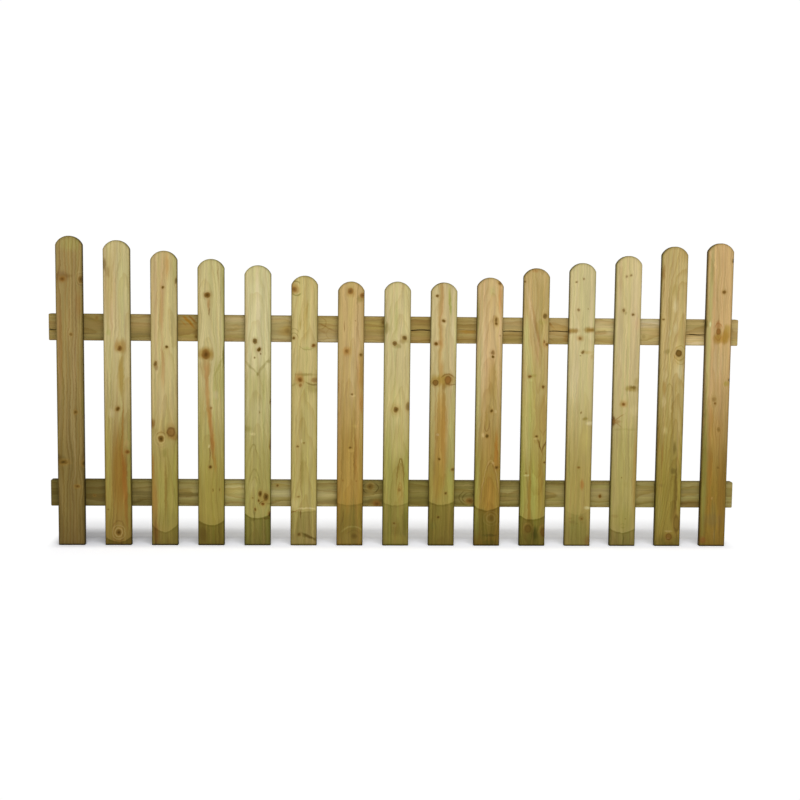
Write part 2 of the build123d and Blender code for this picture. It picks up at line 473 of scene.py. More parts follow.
    # After the damp comes painted shade: near the ground, along the edges, on the sides and along the
    # bottom of the foot
    for amount, tone in ((wet, stain.outputs[2]), (given["Ground shade"], GROUND_SHADE), (soft, EDGE_PAINTED_SHADE),
                         (line, EDGE_PAINTED_LINE), (given["Side"], SIDE_PAINTED_SHADE), (given["Foot edge shade"], FOOT_EDGE_SHADE)):
        colour = add(tree, "ShaderNodeMix", {0: amount, 6: colour, 7: tone}, **COLOUR_TIMES).outputs[2]
    tree.links.new(colour, result.inputs["Color"])
    # Late wood and fibre stand a little proud, and late wood is the smoother
    ridge = add(tree, "ShaderNodeMath", {0: given["Rings"], 1: 0.10}, operation="MULTIPLY")
    hair = add(tree, "ShaderNodeMath", {0: given["Fibre"], 1: 0.20}, operation="MULTIPLY")
    relief = add(tree, "ShaderNodeMath", {0: ridge, 1: hair}, operation="ADD")
    tree.links.new(relief.outputs[0], result.inputs["Height"])
    rough = add(tree, "ShaderNodeMapRange", {0: given["Rings"], 1: 0.0, 2: 1.0, 3: 0.72, 4: 0.6})
    tree.links.new(rough.outputs[0], result.inputs["Roughness"])
    return tree


KNOT = knot_group()
STREAK = streak_group()
ARC = arc_group()
GRAIN = grain_group()
FINISH = finish_group()

# A board, in millimetres: half its width, and the radius of a pale's head
HALF_WIDTH = 35.0
HEAD_RADIUS = 37.5

# How much of the painted shade along the edges and on the sides a board gets
PALE_RIM_SHADE, PALE_SIDE_SHADE = 0.78, 1.0
RAIL_RIM_SHADE, RAIL_SIDE_SHADE = 0.1, 0.0

# A knot: how dark it is, how red, how much taller than wide, and its ring. Above zero, the ring is how
# strong the pale rings round it are. Below zero, the knot is a wide one with a dark rim, and is open and
# lighter within
Knot = namedtuple("Knot", "across up radius dark red tall ring", defaults=(1, 0))

# A streak or stain, and how far it leans to the right for each millimetre upwards
Streak = namedtuple("Streak", "across up half_width half_length tone strength lean", defaults=(0,))

# A late-wood line that curves: its summit, and how fast it falls away to both sides
Arc = namedtuple("Arc", "across up half_width curve thickness tone strength")


def timber(name, board, mapping, edge, damp, rim, side):
    """Pressure-treated softwood, planed: matt, with darker late wood, for one board, and painted shade on
    its edges and sides and, on a pale, towards its foot.
    """
    material, tree = new_material(name)
    shader = tree.nodes["Principled BSDF"]
    place = add(tree, "ShaderNodeTexCoord").outputs["Object"]
    point = add(tree, "ShaderNodeMapping", {0: place, **mapping}).outputs[0]
    # The outlines of knots, streaks and stains stray by a millimetre or two
    jitter = add(tree, "ShaderNodeTexNoise", {
        "Vector": point, "Scale": 0.07, "Detail": 3.0, "Roughness": 0.6})
    centred = add(tree, "ShaderNodeVectorMath", {0: jitter.outputs["Color"], 1: (0.5, 0.5, 0.5)},
                  operation="SUBTRACT")
    nudge = add(tree, "ShaderNodeVectorMath", {0: centred, 1: (7, 0, 7)}, operation="MULTIPLY")
    uneven = add(tree, "ShaderNodeVectorMath", {0: point, 1: nudge}, operation="ADD").outputs[0]
    # A knot runs through the board, so depth below the face doesn't count towards its distance
    bent, distance, depth, red, halo = uneven, 99.0, 0.0, 0.0, 0.0
    for knot in [Knot(*values) for values in board["knots"]]:
        bent, distance, depth, red, halo = add(tree, "ShaderNodeGroup", {
            "Place": uneven, "Point": bent, "Distance": distance, "Depth": depth, "Red": red, "Halo": halo,
            "Centre": (knot.across, 0, knot.up), "Radius": knot.radius, "Tallness": knot.tall,
            "Own depth": knot.dark, "Own red": knot.red, "Own halo": knot.ring}, node_tree=KNOT).outputs
    grain = add(tree, "ShaderNodeGroup", {
        "Point": bent, "Pith": board["pith"], "Drift": board["drift"], "Ring": board["ring"],
        "Seed": board["seed"]}, node_tree=GRAIN).outputs
    ragged = add(tree, "ShaderNodeMapRange", {0: grain["Bands"], 1: 0.3, 2: 0.7, 3: -0.3, 4: 0.3})
    parts = add(tree, "ShaderNodeSeparateXYZ", {0: point}).outputs
    (bottom, low_tone), (top, high_tone) = board["low"], board["high"]
    rise = add(tree, "ShaderNodeMapRange", {0: parts["Z"], 1: bottom, 2: top}, **SOFT_RAMP)
    base = add(tree, "ShaderNodeMix", {0: rise, 6: linear(low_tone), 7: linear(high_tone)}, **COLOUR_MIX)
    colour = base.outputs[2]
    for streak in [Streak(*values) for values in board["streaks"]]:
        colour = add(tree, "ShaderNodeGroup", {
            "Color": colour, "Point": bent, "Ragged": ragged, "Centre": (streak.across, 0, streak.up),
            "Half width": streak.half_width, "Half length": streak.half_length, "Lean": streak.lean,
            "Tone": linear(streak.tone), "Strength": streak.strength}, node_tree=STREAK).outputs["Color"]
    for arc in [Arc(*values) for values in board["arcs"]]:
        colour = add(tree, "ShaderNodeGroup", {
            "Color": colour, "Point": uneven, "Summit": (arc.across, 0, arc.up),
            "Half width": arc.half_width, "Curve": arc.curve, "Thickness": arc.thickness,
            "Tone": linear(arc.tone), "Strength": arc.strength}, node_tree=ARC).outputs["Color"]
    outline = edge(tree, point)
    # Painted shade on the board's sides: points deeper than the front face and within 1.5 mm of the
    # outline are darkened
    outside = add(tree, "ShaderNodeMapRange", {0: outline, 1: 0.0, 2: 1.5, 3: side, 4: 0.0})
    deep = add(tree, "ShaderNodeMapRange", {0: parts["Y"], 1: 0.5, 2: 4.0})
    painted_side_shade = add(tree, "ShaderNodeMath", {0: outside, 1: deep}, operation="MULTIPLY")
    # Pales get painted shade towards the ground: darker over their lowest 90 mm, and darker still along
    # the bottom 6.5 mm of the foot
    ground_shade, foot_edge_shade = 0.0, 0.0
    if "damp" in board:
        ground_shade = add(tree, "ShaderNodeMapRange", {0: parts["Z"], 1: 90.0, 2: 0.0})
        foot_edge_shade = add(tree, "ShaderNodeMapRange", {0: parts["Z"], 1: 1.0, 2: 6.5, 3: 1.0, 4: 0.0},
                   **SOFT_RAMP)
    looks = add(tree, "ShaderNodeGroup", {
        "Color": colour, "Rings": grain["Rings"], "Fibre": grain["Fibre"], "Bands": grain["Bands"],
        "Hue": grain["Hue"], "Contrast": board["contrast"], "Distance": distance, "Depth": depth,
        "Red": red, "Halo": halo, "Edge": outline, "Rim shade": rim, "Side": painted_side_shade, "Ground shade": ground_shade, "Foot edge shade": foot_edge_shade,
        "Damp": damp(tree, uneven)}, node_tree=FINISH).outputs
    bump = add(tree, "ShaderNodeBump", {"Height": looks["Height"], "Strength": 0.6, "Distance": MM})
    tree.links.new(looks["Color"], shader.inputs["Base Color"])
    tree.links.new(looks["Roughness"], shader.inputs["Roughness"])
    tree.links.new(bump.outputs[0], shader.inputs["Normal"])
    shader.inputs["Specular IOR Level"].default_value = 0.07
    return material


def pale_edge(length):
    """How far a point is from a pale's outline: its sides, its round head or its foot."""
    def edge(tree, point):
        parts = add(tree, "ShaderNodeSeparateXYZ", {0: point}).outputs
        aside = add(tree, "ShaderNodeMath", {0: parts["X"]}, operation="ABSOLUTE")
        side = add(tree, "ShaderNodeMath", {0: HALF_WIDTH, 1: aside}, operation="SUBTRACT")
        above = add(tree, "ShaderNodeMath", {0: parts["Z"], 1: length - HEAD_RADIUS}, operation="SUBTRACT")
        over = add(tree, "ShaderNodeMath", {0: above, 1: 0.0}, operation="MAXIMUM")
        flat = add(tree, "ShaderNodeCombineXYZ", {0: parts["X"], 2: over})
        reach = add(tree, "ShaderNodeVectorMath", {0: flat}, operation="LENGTH").outputs["Value"]
        head = add(tree, "ShaderNodeMath", {0: HEAD_RADIUS, 1: reach}, operation="SUBTRACT")
        upper = add(tree, "ShaderNodeMath", {0: side, 1: head}, operation="MINIMUM")
        return add(tree, "ShaderNodeMath", {0: upper, 1: parts["Z"]}, operation="MINIMUM").outputs[0]
    return edge


def rail_edge(half_length):
    """How far a point is from a rail's outline."""
    def edge(tree, point):
        parts = add(tree, "ShaderNodeSeparateXYZ", {0: point}).outputs
        aside = add(tree, "ShaderNodeMath", {0: parts["X"]}, operation="ABSOLUTE")
        along = add(tree, "ShaderNodeMath", {0: parts["Z"]}, operation="ABSOLUTE")
        side = add(tree, "ShaderNodeMath", {0: HALF_WIDTH, 1: aside}, operation="SUBTRACT")
        end = add(tree, "ShaderNodeMath", {0: half_length, 1: along}, operation="SUBTRACT")
        return add(tree, "ShaderNodeMath", {0: side, 1: end}, operation="MINIMUM").outputs[0]
    return edge


def damp_foot(height, climb, strength):
    """The damp at a pale's foot: a tide mark that climbs towards both edges of the board."""
    def damp(tree, point):
        parts = add(tree, "ShaderNodeSeparateXYZ", {0: point}).outputs
        share = add(tree, "ShaderNodeMath", {0: parts["X"], 1: HALF_WIDTH}, operation="DIVIDE")
        square = add(tree, "ShaderNodeMath", {0: share, 1: share}, operation="MULTIPLY")
        rise = add(tree, "ShaderNodeMath", {0: square, 1: climb}, operation="MULTIPLY")
        mark = add(tree, "ShaderNodeMath", {0: rise, 1: height}, operation="ADD")
        below = add(tree, "ShaderNodeMath", {0: mark, 1: parts["Z"]}, operation="SUBTRACT")
        soaked = add(tree, "ShaderNodeMapRange", {0: below, 1: -1.5, 2: 2.0, 3: 0.0, 4: strength},
                     **SOFT_RAMP)
        # Salts and dirt gather along the tide mark itself
        apart = add(tree, "ShaderNodeMath", {0: below, 1: 2.5}, operation="SUBTRACT")
        off = add(tree, "ShaderNodeMath", {0: apart}, operation="ABSOLUTE")
        tide = add(tree, "ShaderNodeMapRange", {0: off, 1: 0.5, 2: 4.0, 3: 0.3 * strength, 4: 0.0},
                   **SOFT_RAMP)
        return add(tree, "ShaderNodeMath", {0: soaked, 1: tide}, operation="ADD").outputs[0]
    return damp


def dry(tree, point):
    """A board that stands clear of the ground has no damp foot."""
    return 0.0


# Each pale: its tones low and high, with the heights at which they are reached; its damp foot (height,
# climb, strength); where the pith of its log lies and how it drifts with height; its ring width; how
# strongly its late wood shows; and its knots, streaks and arcs, with their values in the order above
PALES = {
    "pale_01": dict(
        low=(150, "#7e6b3b"), high=(600, "#978350"), damp=(0, 0, 0.1),
        pith=(-60, 40, 0), drift=(0.01, 0.005, 0), ring=7, seed=1, contrast=0.75,
        knots=[(-17, 703, 7, 0.9, 0.5, 0.9), (31, 703, 6, 0.8, 0.1, 1.3, 0.3), (4, 559, 4, 0.7, 0.3),
               (14, 354, 4.4, 0.9, 0.1), (-20, 222, 12, 0.95, 0.05, 0.5), (34, 219, 6.5, 1, 0),
               (16, 158, 6.5, 0.9, 0.2, 0.65)],
        streaks=[(-18, 710, 20, 16, "#7a5c34", 0.6), (-6, 712, 18, 6, "#745828", 0.4),
                 (32, 698, 8, 22, "#6a5430", 0.55), (-30, 590, 5, 120, "#96744c", 0.5),
                 (10, 480, 8, 90, "#a28c60", 0.35), (-26, 230, 10, 14, "#5a481c", 0.75),
                 (2, 795, 30, 22, "#a09858", 0.6), (25, 635, 7, 40, RUST, 0.3),
                 (-24, 520, 8, 120, "#9c7c48", 0.6), (-12, 420, 6, 160, "#a08a58", 0.5),
                 (6, 330, 6, 150, "#a39060", 0.5), (31, 370, 5, 30, OLIVE, 0.6),
                 (30, 120, 7, 120, "#6a5a2a", 0.4), (-30, 60, 8, 80, "#5f5022", 0.4),
                 (22, 60, 6, 60, "#5f5022", 0.3)],
        arcs=[]),
    "pale_02": dict(
        low=(150, "#907a3b"), high=(560, "#bfb07e"), damp=(10, 14, 0.75),
        pith=(30, 70, 0), drift=(0, 0.03, 0), ring=4.2, seed=2, contrast=0.4,
        knots=[(8, 523, 6, 0.95, 0.4, 1.2), (1, 364, 5.4, 1, 0.15, 1.1), (25, 250, 6, 0.95, 0.6, 0.8),
               (1, 35, 7, 1, 0.1, 1.1, 0.5), (-26, 97, 2.5, 0.7, 0.1)],
        streaks=[(-18, 680, 15, 110, "#b79c68", 0.6), (14, 690, 14, 100, "#bab47e", 0.5),
                 (-31, 742, 6, 16, "#7a6230", 0.7), (-22, 722, 6, 16, "#8e7040", 0.5),
                 (-13, 600, 6, 60, "#cdb088", 0.7), (-22, 565, 8, 8, SAP_GREEN, 0.4),
                 (9, 530, 13, 19, "#a07c3a", 0.75), (10, 450, 9, 60, "#a08438", 0.75),
                 (-16, 354, 10, 14, "#c4b488", 0.5), (13, 325, 4, 50, "#9a7434", 0.7),
                 (27, 273, 7, 10, "#b89a60", 0.6), (5, 200, 19, 130, "#8f6c2a", 0.85),
                 (17, 185, 8, 85, "#8a5a20", 0.85), (20, 105, 6, 70, "#8a5c22", 0.6),
                 (-26, 220, 9, 170, "#a49a50", 0.55), (30, 230, 6, 170, "#8f8a48", 0.45)],
        arcs=[(1, 66, 20, 0.06, 2.2, BROWN, 0.55), (1, 54, 15, 0.08, 1.8, BROWN, 0.4),
              (1, 12, 16, -0.04, 2, BROWN, 0.5)]),
    "pale_03": dict(
        low=(150, "#9b8b48"), high=(520, "#c0ae7a"), damp=(36, 24, 0.62),
        pith=(10, 60, 0), drift=(0, 0.02, 0), ring=4, seed=3, contrast=0.35,
        knots=[(-2, 684, 3.6, 0.95, 0.1), (32, 702, 3, 0.7, 0, 2.5), (7, 528, 4.2, 0.95, 0, 0.9),
               (-22, 484, 4.6, 0.85, 0.2, 1.3), (17, 304, 11, 0.95, 0.6, 1.2, -0.3),
               (-9, 285, 7, 1, 0.1, 1.2, 0.7)],
        streaks=[(9, 740, 7, 50, "#ae8852", 0.8), (-2, 700, 10, 90, "#b99a68", 0.5),
                 (29, 740, 7, 50, "#a9a468", 0.5), (-6, 620, 6, 70, "#b08c58", 0.65),
                 (-20, 640, 14, 120, "#bba070", 0.4), (24, 560, 12, 160, "#b4ac70", 0.5),
                 (-20, 473, 3, 9, BROWN, 0.6), (-3, 480, 6, 80, "#ae8854", 0.6),
                 (-6, 380, 13, 50, "#b9a678", 0.5), (-31, 325, 9, 17, "#80581f", 0.9),
                 (22, 290, 9, 8, "#8a5c1e", 0.85), (-4, 300, 30, 16, "#a08c4e", 0.5, -1.6),
                 (14, 304, 3, 5, "#8f6a34", 0.6), (-31, 210, 5, 50, "#a07030", 0.6),
                 (-27, 110, 9, 90, "#9c7a3a", 0.85, -0.04), (-24, 34, 9, 40, "#84602a", 0.7),
                 (3, 150, 4, 90, "#8a7234", 0.75), (-9, 150, 9, 90, "#a09c50", 0.5),
                 (22, 160, 10, 140, "#9a9448", 0.5), (0, 247, 7, 16, "#857a38", 0.6),
                 (0, 75, 30, 30, "#8a8040", 0.45)],
        arcs=[(-9, 303, 13, 0.05, 2, BROWN, 0.5), (-8, 264, 15, -0.05, 2, BROWN, 0.45),
              (-9, 256, 15, -0.05, 2, "#a89858", 0.4)]),
    "pale_04": dict(
        low=(150, "#978842"), high=(520, "#bdb27c"), damp=(55, 14, 0.85),
        pith=(-12, 70, 0), drift=(0, 0.02, 0), ring=4.2, seed=4, contrast=0.35,
        knots=[(-9, 665, 7.5, 1, 0.25), (-13, 509, 10.5, 1, 0.45, 1.2), (-2, 210, 4.4, 1, 0),
               (5, 149, 1.6, 0.7, 0, 3), (22, 151, 1.4, 0.5, 0, 3), (-1, 368, 3, 0.5, 0.5)],
        streaks=[(19, 725, 2, 40, BROWN, 0.4), (30, 700, 6, 90, "#9f9c60", 0.6),
                 (-29, 640, 6, 150, "#b5a06c", 0.5), (-7, 640, 2.5, 20, "#9c7440", 0.7, -0.03),
                 (-5, 621, 1.5, 11, BROWN, 0.8), (-13, 511, 13.5, 18, "#9c8238", 0.8),
                 (-33, 522, 5, 26, "#a07838", 0.6), (33, 505, 4, 30, OLIVE, 0.8),
                 (19, 478, 4, 26, "#8f8a48", 0.65, 0.45), (20, 440, 16, 60, "#a39c58", 0.65),
                 (-14, 465, 10, 30, "#9c8444", 0.5), (-11, 455, 5, 45, "#b08650", 0.7, -0.02),
                 (-9, 400, 6, 45, "#ac8048", 0.75, -0.03), (-3, 340, 7, 45, "#a87a3c", 0.85, -0.08),
                 (4, 280, 8, 55, "#9a6c30", 0.85, -0.06), (8, 222, 6, 34, "#98702e", 0.7, -0.05),
                 (2, 262, 3, 45, "#845a24", 0.5, -0.06), (12, 403, 8, 12, "#bcae84", 0.6),
                 (-3, 245, 1.7, 22, BROWN, 0.85), (-6, 266, 3, 6, "#c4b480", 0.7),
                 (-22, 300, 9, 150, "#aea45c", 0.45), (-20, 30, 12, 24, "#6a5222", 0.5)],
        arcs=[]),
    "pale_05": dict(
        low=(170, "#9e9353"), high=(540, "#c4bb8a"), damp=(74, 13, 0.85),
        pith=(-8, 40, 0), drift=(0, 0.05, 0), ring=4.4, seed=5, contrast=0.3,
        knots=[(-7, 545, 5.6, 0.9, 0, 1.3), (4, 523, 5, 1, 0, 1.1), (8, 512, 1.8, 0.8, 0),
               (-8, 502, 2.2, 0.75, 0), (6, 357, 1.5, 0.5, 0, 2), (34, 386, 2.5, 0.6, 0.4, 3),
               (34, 270, 3, 0.65, 0.4, 5), (7, 139, 4.4, 1, 0, 1.9), (22, 131, 6.8, 1, 0, 1.6),
               (4, 122, 2.6, 1, 0.1, 1.6), (14, 112, 4.2, 1, 0.4), (-13, 128, 2.6, 0.5, 0.1),
               (-6, 98, 3, 0.85, 0.1, 1.2), (33, 85, 4.8, 1, 0.2, 1.5)],
        streaks=[(0, 665, 8, 90, "#d6ca9c", 0.7), (-30, 560, 5, 160, "#b59f6a", 0.5),
                 (0, 425, 40, 52, "#aa9f60", 0.55), (27, 492, 8, 5, "#8f8648", 0.5),
                 (-15, 474, 5, 20, "#8c8246", 0.52, -0.95), (14, 478, 5, 24, "#8c8246", 0.52, 0.75),
                 (0, 458, 4, 5, "#847638", 0.5), (0, 500, 16, 22, "#c6bc88", 0.3),
                 (-25, 313, 11, 10, "#8f8444", 0.55), (-13, 299, 8, 4, "#c6ba80", 0.85),
                 (-14, 160, 16, 24, "#aca064", 0.5), (-7, 84, 2, 14, "#6b5f28", 0.6),
                 (26, 73, 9, 4, BROWN, 0.6), (-12, 70, 7, 4, OLIVE, 0.5),
                 (16, 120, 12, 18, "#94803e", 0.5), (14, 117, 2.4, 8, "#5f4c18", 0.7, 0.9),
                 (28, 113, 6, 2.5, "#7a6828", 0.6)],
        arcs=[(-11, 271, 12, 0.25, 2.4, "#8a7f42", 0.7), (-8, 205, 19, 0.18, 2.4, "#8a7f42", 0.65),
              (-8, 184, 14, 0.2, 2, "#8a7f42", 0.4)]),
    "pale_06": dict(
        low=(170, "#ac9c5e"), high=(540, "#bbac71"), damp=(92, 4, 0.45),
        pith=(0, 55, 0), drift=(0.01, 0.04, 0), ring=4.6, seed=6, contrast=0.4,
        knots=[(-27, 682, 6.5, 0.78, 0.6, 1.1), (-28, 554, 4.2, 0.95, 0.1), (24, 535, 5, 0.95, 0.45, 0.8),
               (-11, 444, 6, 0.95, 0.7, 1.1), (-10, 430, 4, 0.7, 0.9, 1.2), (27, 444, 8, 0.6, 0.6, 0.8),
               (-17, 267, 3.2, 0.75, 0.1, 0.8), (0, 276, 2.6, 0.65, 0.1), (-14, 132, 4, 0.6, 0.2, 0.7),
               (-12, 30, 5, 0.75, 0.1, 0.8)],
        streaks=[(-26, 684, 12, 15, "#a87c34", 0.5), (6, 630, 3, 25, "#a08a44", 0.6, 0.15),
                 (-10, 590, 3, 18, "#a08a44", 0.6, 0.2), (2, 600, 6, 60, "#b09a52", 0.6),
                 (10, 527, 16, 6, SAP_GREEN, 0.4), (-12, 448, 10, 18, "#a8702c", 0.6),
                 (22, 422, 14, 14, "#8f8440", 0.6), (-24, 431, 8, 6, "#85783a", 0.6, 1.4),
                 (4, 458, 28, 4.5, "#8c7c3e", 0.75), (20, 433, 9, 7, "#6c5a24", 0.9, -2.6),
                 (-23, 93, 4.5, 5, "#8a5a26", 0.8, 2.2), (14, 24, 9, 12, "#6a561f", 0.85, -1.9),
                 (2, 28, 9, 6, "#6c5a24", 0.6), (26, 9, 10, 5, "#b09c64", 0.6),
                 (-20, 38, 14, 4, "#a89a5c", 0.5), (-26, 24, 9, 10, "#9a8850", 0.5),
                 (31, 426, 4, 6, "#c4b47c", 0.7), (-8, 340, 5, 34, "#a08c48", 0.5),
                 (-6, 200, 5, 70, "#998840", 0.5), (-6, 281, 3, 6, "#ccc088", 0.7),
                 (18, 320, 12, 100, "#bbad72", 0.5), (-24, 112, 12, 17, "#c0b078", 0.6),
                 (-8, 85, 1.6, 12, BROWN, 0.85), (0, 60, 34, 30, "#968448", 0.3),
                 (0, 425, 36, 36, "#a29254", 0.4)],
        arcs=[(-24, 703, 14, 0.03, 2.6, "#7d6c34", 0.7), (-21, 666, 14, -0.04, 2.6, "#7d7838", 0.7),
              (-28, 568, 14, 0.08, 1.8, OLIVE, 0.5), (-28, 579, 18, 0.05, 1.8, OLIVE, 0.4),
              (8, 524, 26, -0.02, 2, OLIVE, 0.35), (8, 101, 28, 0.004, 2.6, "#cabb84", 0.8)]),
    "pale_07": dict(
        low=(120, "#9f803a"), high=(560, "#b79d67"), damp=(110, 7, 0.48),
        pith=(-5, 80, 0), drift=(0, 0.02, 0), ring=4.2, seed=7, contrast=0.35,
        knots=[(-2, 679, 7.5, 0.85, 0.65, 1.15), (29, 668, 5.5, 0.88, 0.75, 1.2), (12, 601, 1.5, 0.6, 0),
               (-10, 520, 5, 0.7, 0.7), (26, 511, 4.6, 0.9, 0.15), (3, 406, 3.4, 0.75, 0.1, 0.7),
               (0, 264, 4, 0.8, 0.1, 0.7), (-19, 176, 3, 0.4, 0.5), (18, 174, 2.5, 0.4, 0.5),
               (12, 26, 8, 0.5, 0, 0.9)],
        streaks=[(0, 672, 9, 12, "#a87a3c", 0.3), (23, 658, 9, 10, "#8c7c3c", 0.65),
                 (-18, 586, 1.7, 18, BROWN, 0.7), (6, 560, 6, 70, "#c4aa78", 0.5),
                 (-10, 521, 11, 13, "#b08440", 0.6), (27, 501, 6, 6, "#c0a45c", 0.6),
                 (4, 480, 7, 110, "#c2a87c", 0.6), (26, 460, 8, 60, "#a47c3a", 0.7),
                 (6, 403, 6, 3.5, "#c8b07c", 0.7), (28, 385, 6, 30, "#a8783a", 0.7),
                 (0, 205, 38, 112, "#a88847", 0.6), (-4, 18, 34, 18, "#b09650", 0.6),
                 (0, 50, 40, 70, "#8a8040", 0.5), (18, 560, 14, 90, "#c0a878", 0.35),
                 (12, 322, 7, 4, "#b89c58", 0.7), (2, 256, 6, 4.5, "#bb9c56", 0.75),
                 (14, 240, 6, 60, "#94682a", 0.5), (-33, 430, 3, 20, RUST, 0.4),
                 (-18, 76, 2.6, 22, BROWN, 0.5, 0.1), (-26, 36, 6, 24, "#8c7a34", 0.4)],
        arcs=[(8, 52, 36, 0.016, 3, "#b0a05c", 0.6), (11, 42, 22, 0.03, 1.8, BROWN, 0.3)]),
    "pale_08": dict(
        low=(160, "#978c47"), high=(540, "#c0b27f"), damp=(109, 10, 0.5),
        pith=(10, 40, 0), drift=(0, 0.05, 0), ring=4.4, seed=8, contrast=0.3,
        knots=[(19, 557, 6, 0.9, 0.1), (-7, 542, 6, 0.86, 0.2), (-2, 367, 6, 0.9, 0.2, 1.25, 0.5),
               (30, 376, 5.5, 0.7, 0.2, 2), (10, 151, 3.5, 0.55, 0.4, 1.3), (-4, 61, 3.2, 0.85, 0.1, 0.7)],
        streaks=[(12, 691, 8, 8, "#c4a870", 0.4), (-2, 605, 7, 50, "#aea868", 0.5),
                 (-28, 582, 8, 14, "#8f8444", 0.65), (2, 535, 10, 8, "#857c3c", 0.55),
                 (16, 548, 11, 7, "#8f7c3c", 0.5), (0, 345, 40, 110, "#c4b67a", 0.7),
                 (-2, 367, 14, 20, "#a8904c", 0.45), (6, 270, 24, 50, "#b0a260", 0.4),
                 (-22, 240, 10, 110, "#a2a056", 0.6), (12, 150, 8, 84, "#a08a48", 0.75),
                 (27, 170, 7, 110, "#989848", 0.6), (-2, 54, 7, 4, "#a09454", 0.6),
                 (24, 32, 10, 3, "#8f8648", 0.5), (2, 40, 10, 40, "#85702e", 0.5),
                 (26, 70, 8, 40, "#65641f", 0.4), (0, 16, 34, 16, "#ac9e50", 0.5)],
        arcs=[(12, 234, 14, 0.5, 2.4, "#806a2c", 0.85), (12, 222, 11, 0.6, 2, "#8c7636", 0.5),
              (11, 170, 9, 0.6, 2, "#8c7032", 0.55), (11, 160, 7, 0.8, 1.6, "#8c7032", 0.5)]),
    "pale_09": dict(
        low=(140, "#978743"), high=(560, "#bfae7d"), damp=(111, 11, 0.7),
        pith=(-5, 90, 0), drift=(0, 0.02, 0), ring=3.8, seed=9, contrast=0.3,
        knots=[(-18, 669, 4, 0.9, 0.2), (0, 603, 4.6, 0.95, 0.2), (-20, 542, 4.8, 1, 0.3, 0.9),
               (-20, 439, 7.4, 0.95, 0.4, 1, -0.1), (13, 446, 8.6, 0.9, 0.9, 1.3, -0.1),
               (-8, 235, 3.8, 1, 0.1), (30, 207, 5, 0.8, 0, 0.7), (11, 142, 3.6, 0.9, 0),
               (-8, 77, 4, 0.8, 0, 0.8)],
        streaks=[(-8, 640, 9, 90, "#b3915c", 0.85), (-8, 540, 9, 70, "#ad8950", 0.85, 0.03),
                 (-5, 470, 9, 40, "#ab864c", 0.85), (15, 660, 4, 40, "#a2a052", 0.8, -0.06),
                 (18, 630, 2, 16, "#8f9440", 0.7), (27, 600, 9, 150, "#c6bc8c", 0.5),
                 (-28, 600, 5, 150, "#c4b484", 0.5), (-13, 544, 9, 9, "#a4703c", 0.5),
                 (-2, 446, 30, 18, "#a08438", 0.85), (4, 429, 7, 10, "#77561c", 0.6),
                 (-4, 345, 17, 110, "#a8823f", 0.8), (2, 290, 10, 120, "#a07834", 0.6),
                 (-4, 240, 15, 80, "#a27c3a", 0.6), (-8, 175, 16, 60, "#9c8038", 0.75),
                 (25, 300, 9, 150, "#aeac6c", 0.5), (22, 165, 12, 60, "#9c9a4c", 0.6),
                 (-13, 300, 4, 3, "#c0a878", 0.5), (-22, 55, 9, 10, "#8f8a48", 0.5)],
        arcs=[(12, 462, 20, 0.03, 2.8, BROWN, 0.75), (20, 434, 18, -0.01, 2.4, BROWN, 0.6)]),
    "pale_10": dict(
        low=(140, "#937b35"), high=(560, "#c1a675"), damp=(97, 13, 0.8),
        pith=(6, 42, 0), drift=(0, 0.05, 0), ring=4, seed=10, contrast=0.35,
        knots=[(24, 703, 4, 0.7, 0.3), (16, 607, 3.8, 0.8, 0.2, 1.6), (16, 597, 3.8, 0.9, 0.2, 1.2),
               (27, 565, 2.4, 0.4, 0.3), (9, 520, 5, 0.7, 0.4, 1.2), (9, 509, 4, 1, 0.1),
               (8, 364, 4.4, 1, 0.1), (-3, 297, 4.8, 0.95, 0, 1.1), (24, 213, 5.4, 1, 0.2),
               (11, 75, 8, 0.35, 0.1, 1, 0.3)],
        streaks=[(23, 707, 8, 8, "#a88446", 0.4), (25, 660, 6, 55, "#b4894e", 0.75),
                 (4, 682, 9, 15, "#ada468", 0.5), (-32, 610, 4, 60, "#8c8a48", 0.6),
                 (16, 600, 8, 18, "#a88444", 0.4), (-4, 560, 10, 120, "#c4a676", 0.6),
                 (-18, 520, 7, 120, "#ceb68a", 0.6), (8, 450, 16, 50, "#a98c4c", 0.7),
                 (-29, 420, 7, 150, "#b5b074", 0.6), (15, 363, 7, 5, "#c8b080", 0.75),
                 (-4, 340, 9, 34, "#9c8440", 0.7), (4, 395, 18, 50, "#a2894a", 0.6),
                 (-11, 299, 5, 8, "#c4ae78", 0.75), (22, 260, 6, 62, "#9e702c", 0.9),
                 (6, 270, 14, 60, "#a0803e", 0.5), (16, 224, 6, 5, "#c0a468", 0.6),
                 (6, 140, 20, 70, "#977430", 0.75), (-28, 170, 8, 110, "#9c9a50", 0.6),
                 (-27, 64, 9, 48, "#b0b062", 0.6), (8, 29, 20, 4, "#4c3c14", 0.6),
                 (10, 9, 24, 8, "#6a6a28", 0.5), (-8, 52, 30, 52, "#84803c", 0.5)],
        arcs=[(8, 224, 32, 0.155, 2.2, "#85662c", 0.6), (8, 231, 33, 0.15, 2, "#bda468", 0.35),
              (-4, 310, 10, -0.4, 2, BROWN, 0.5)]),
    "pale_11": dict(
        low=(140, "#9a8c45"), high=(560, "#b59e67"), damp=(72, 12, 0.85),
        pith=(10, 60, 0), drift=(0, -0.04, 0), ring=4, seed=11, contrast=0.4,
        knots=[(-32, 708, 3, 0.75, 0.2), (23, 618, 5.6, 0.82, 0.1, 1.3),
               (30, 543, 4.4, 0.82, 0.3, 1, 0.4), (22, 550, 2.6, 0.8, 0.4, 2),
               (-14, 457, 4.6, 0.9, 0.3, 0.8), (22, 430, 4.4, 0.95, 0.2), (7, 297, 4, 0.95, 0, 0.8),
               (30, 227, 3.6, 0.9, 0.3, 0.8), (-20, 198, 3, 0.6, 0, 0.6),
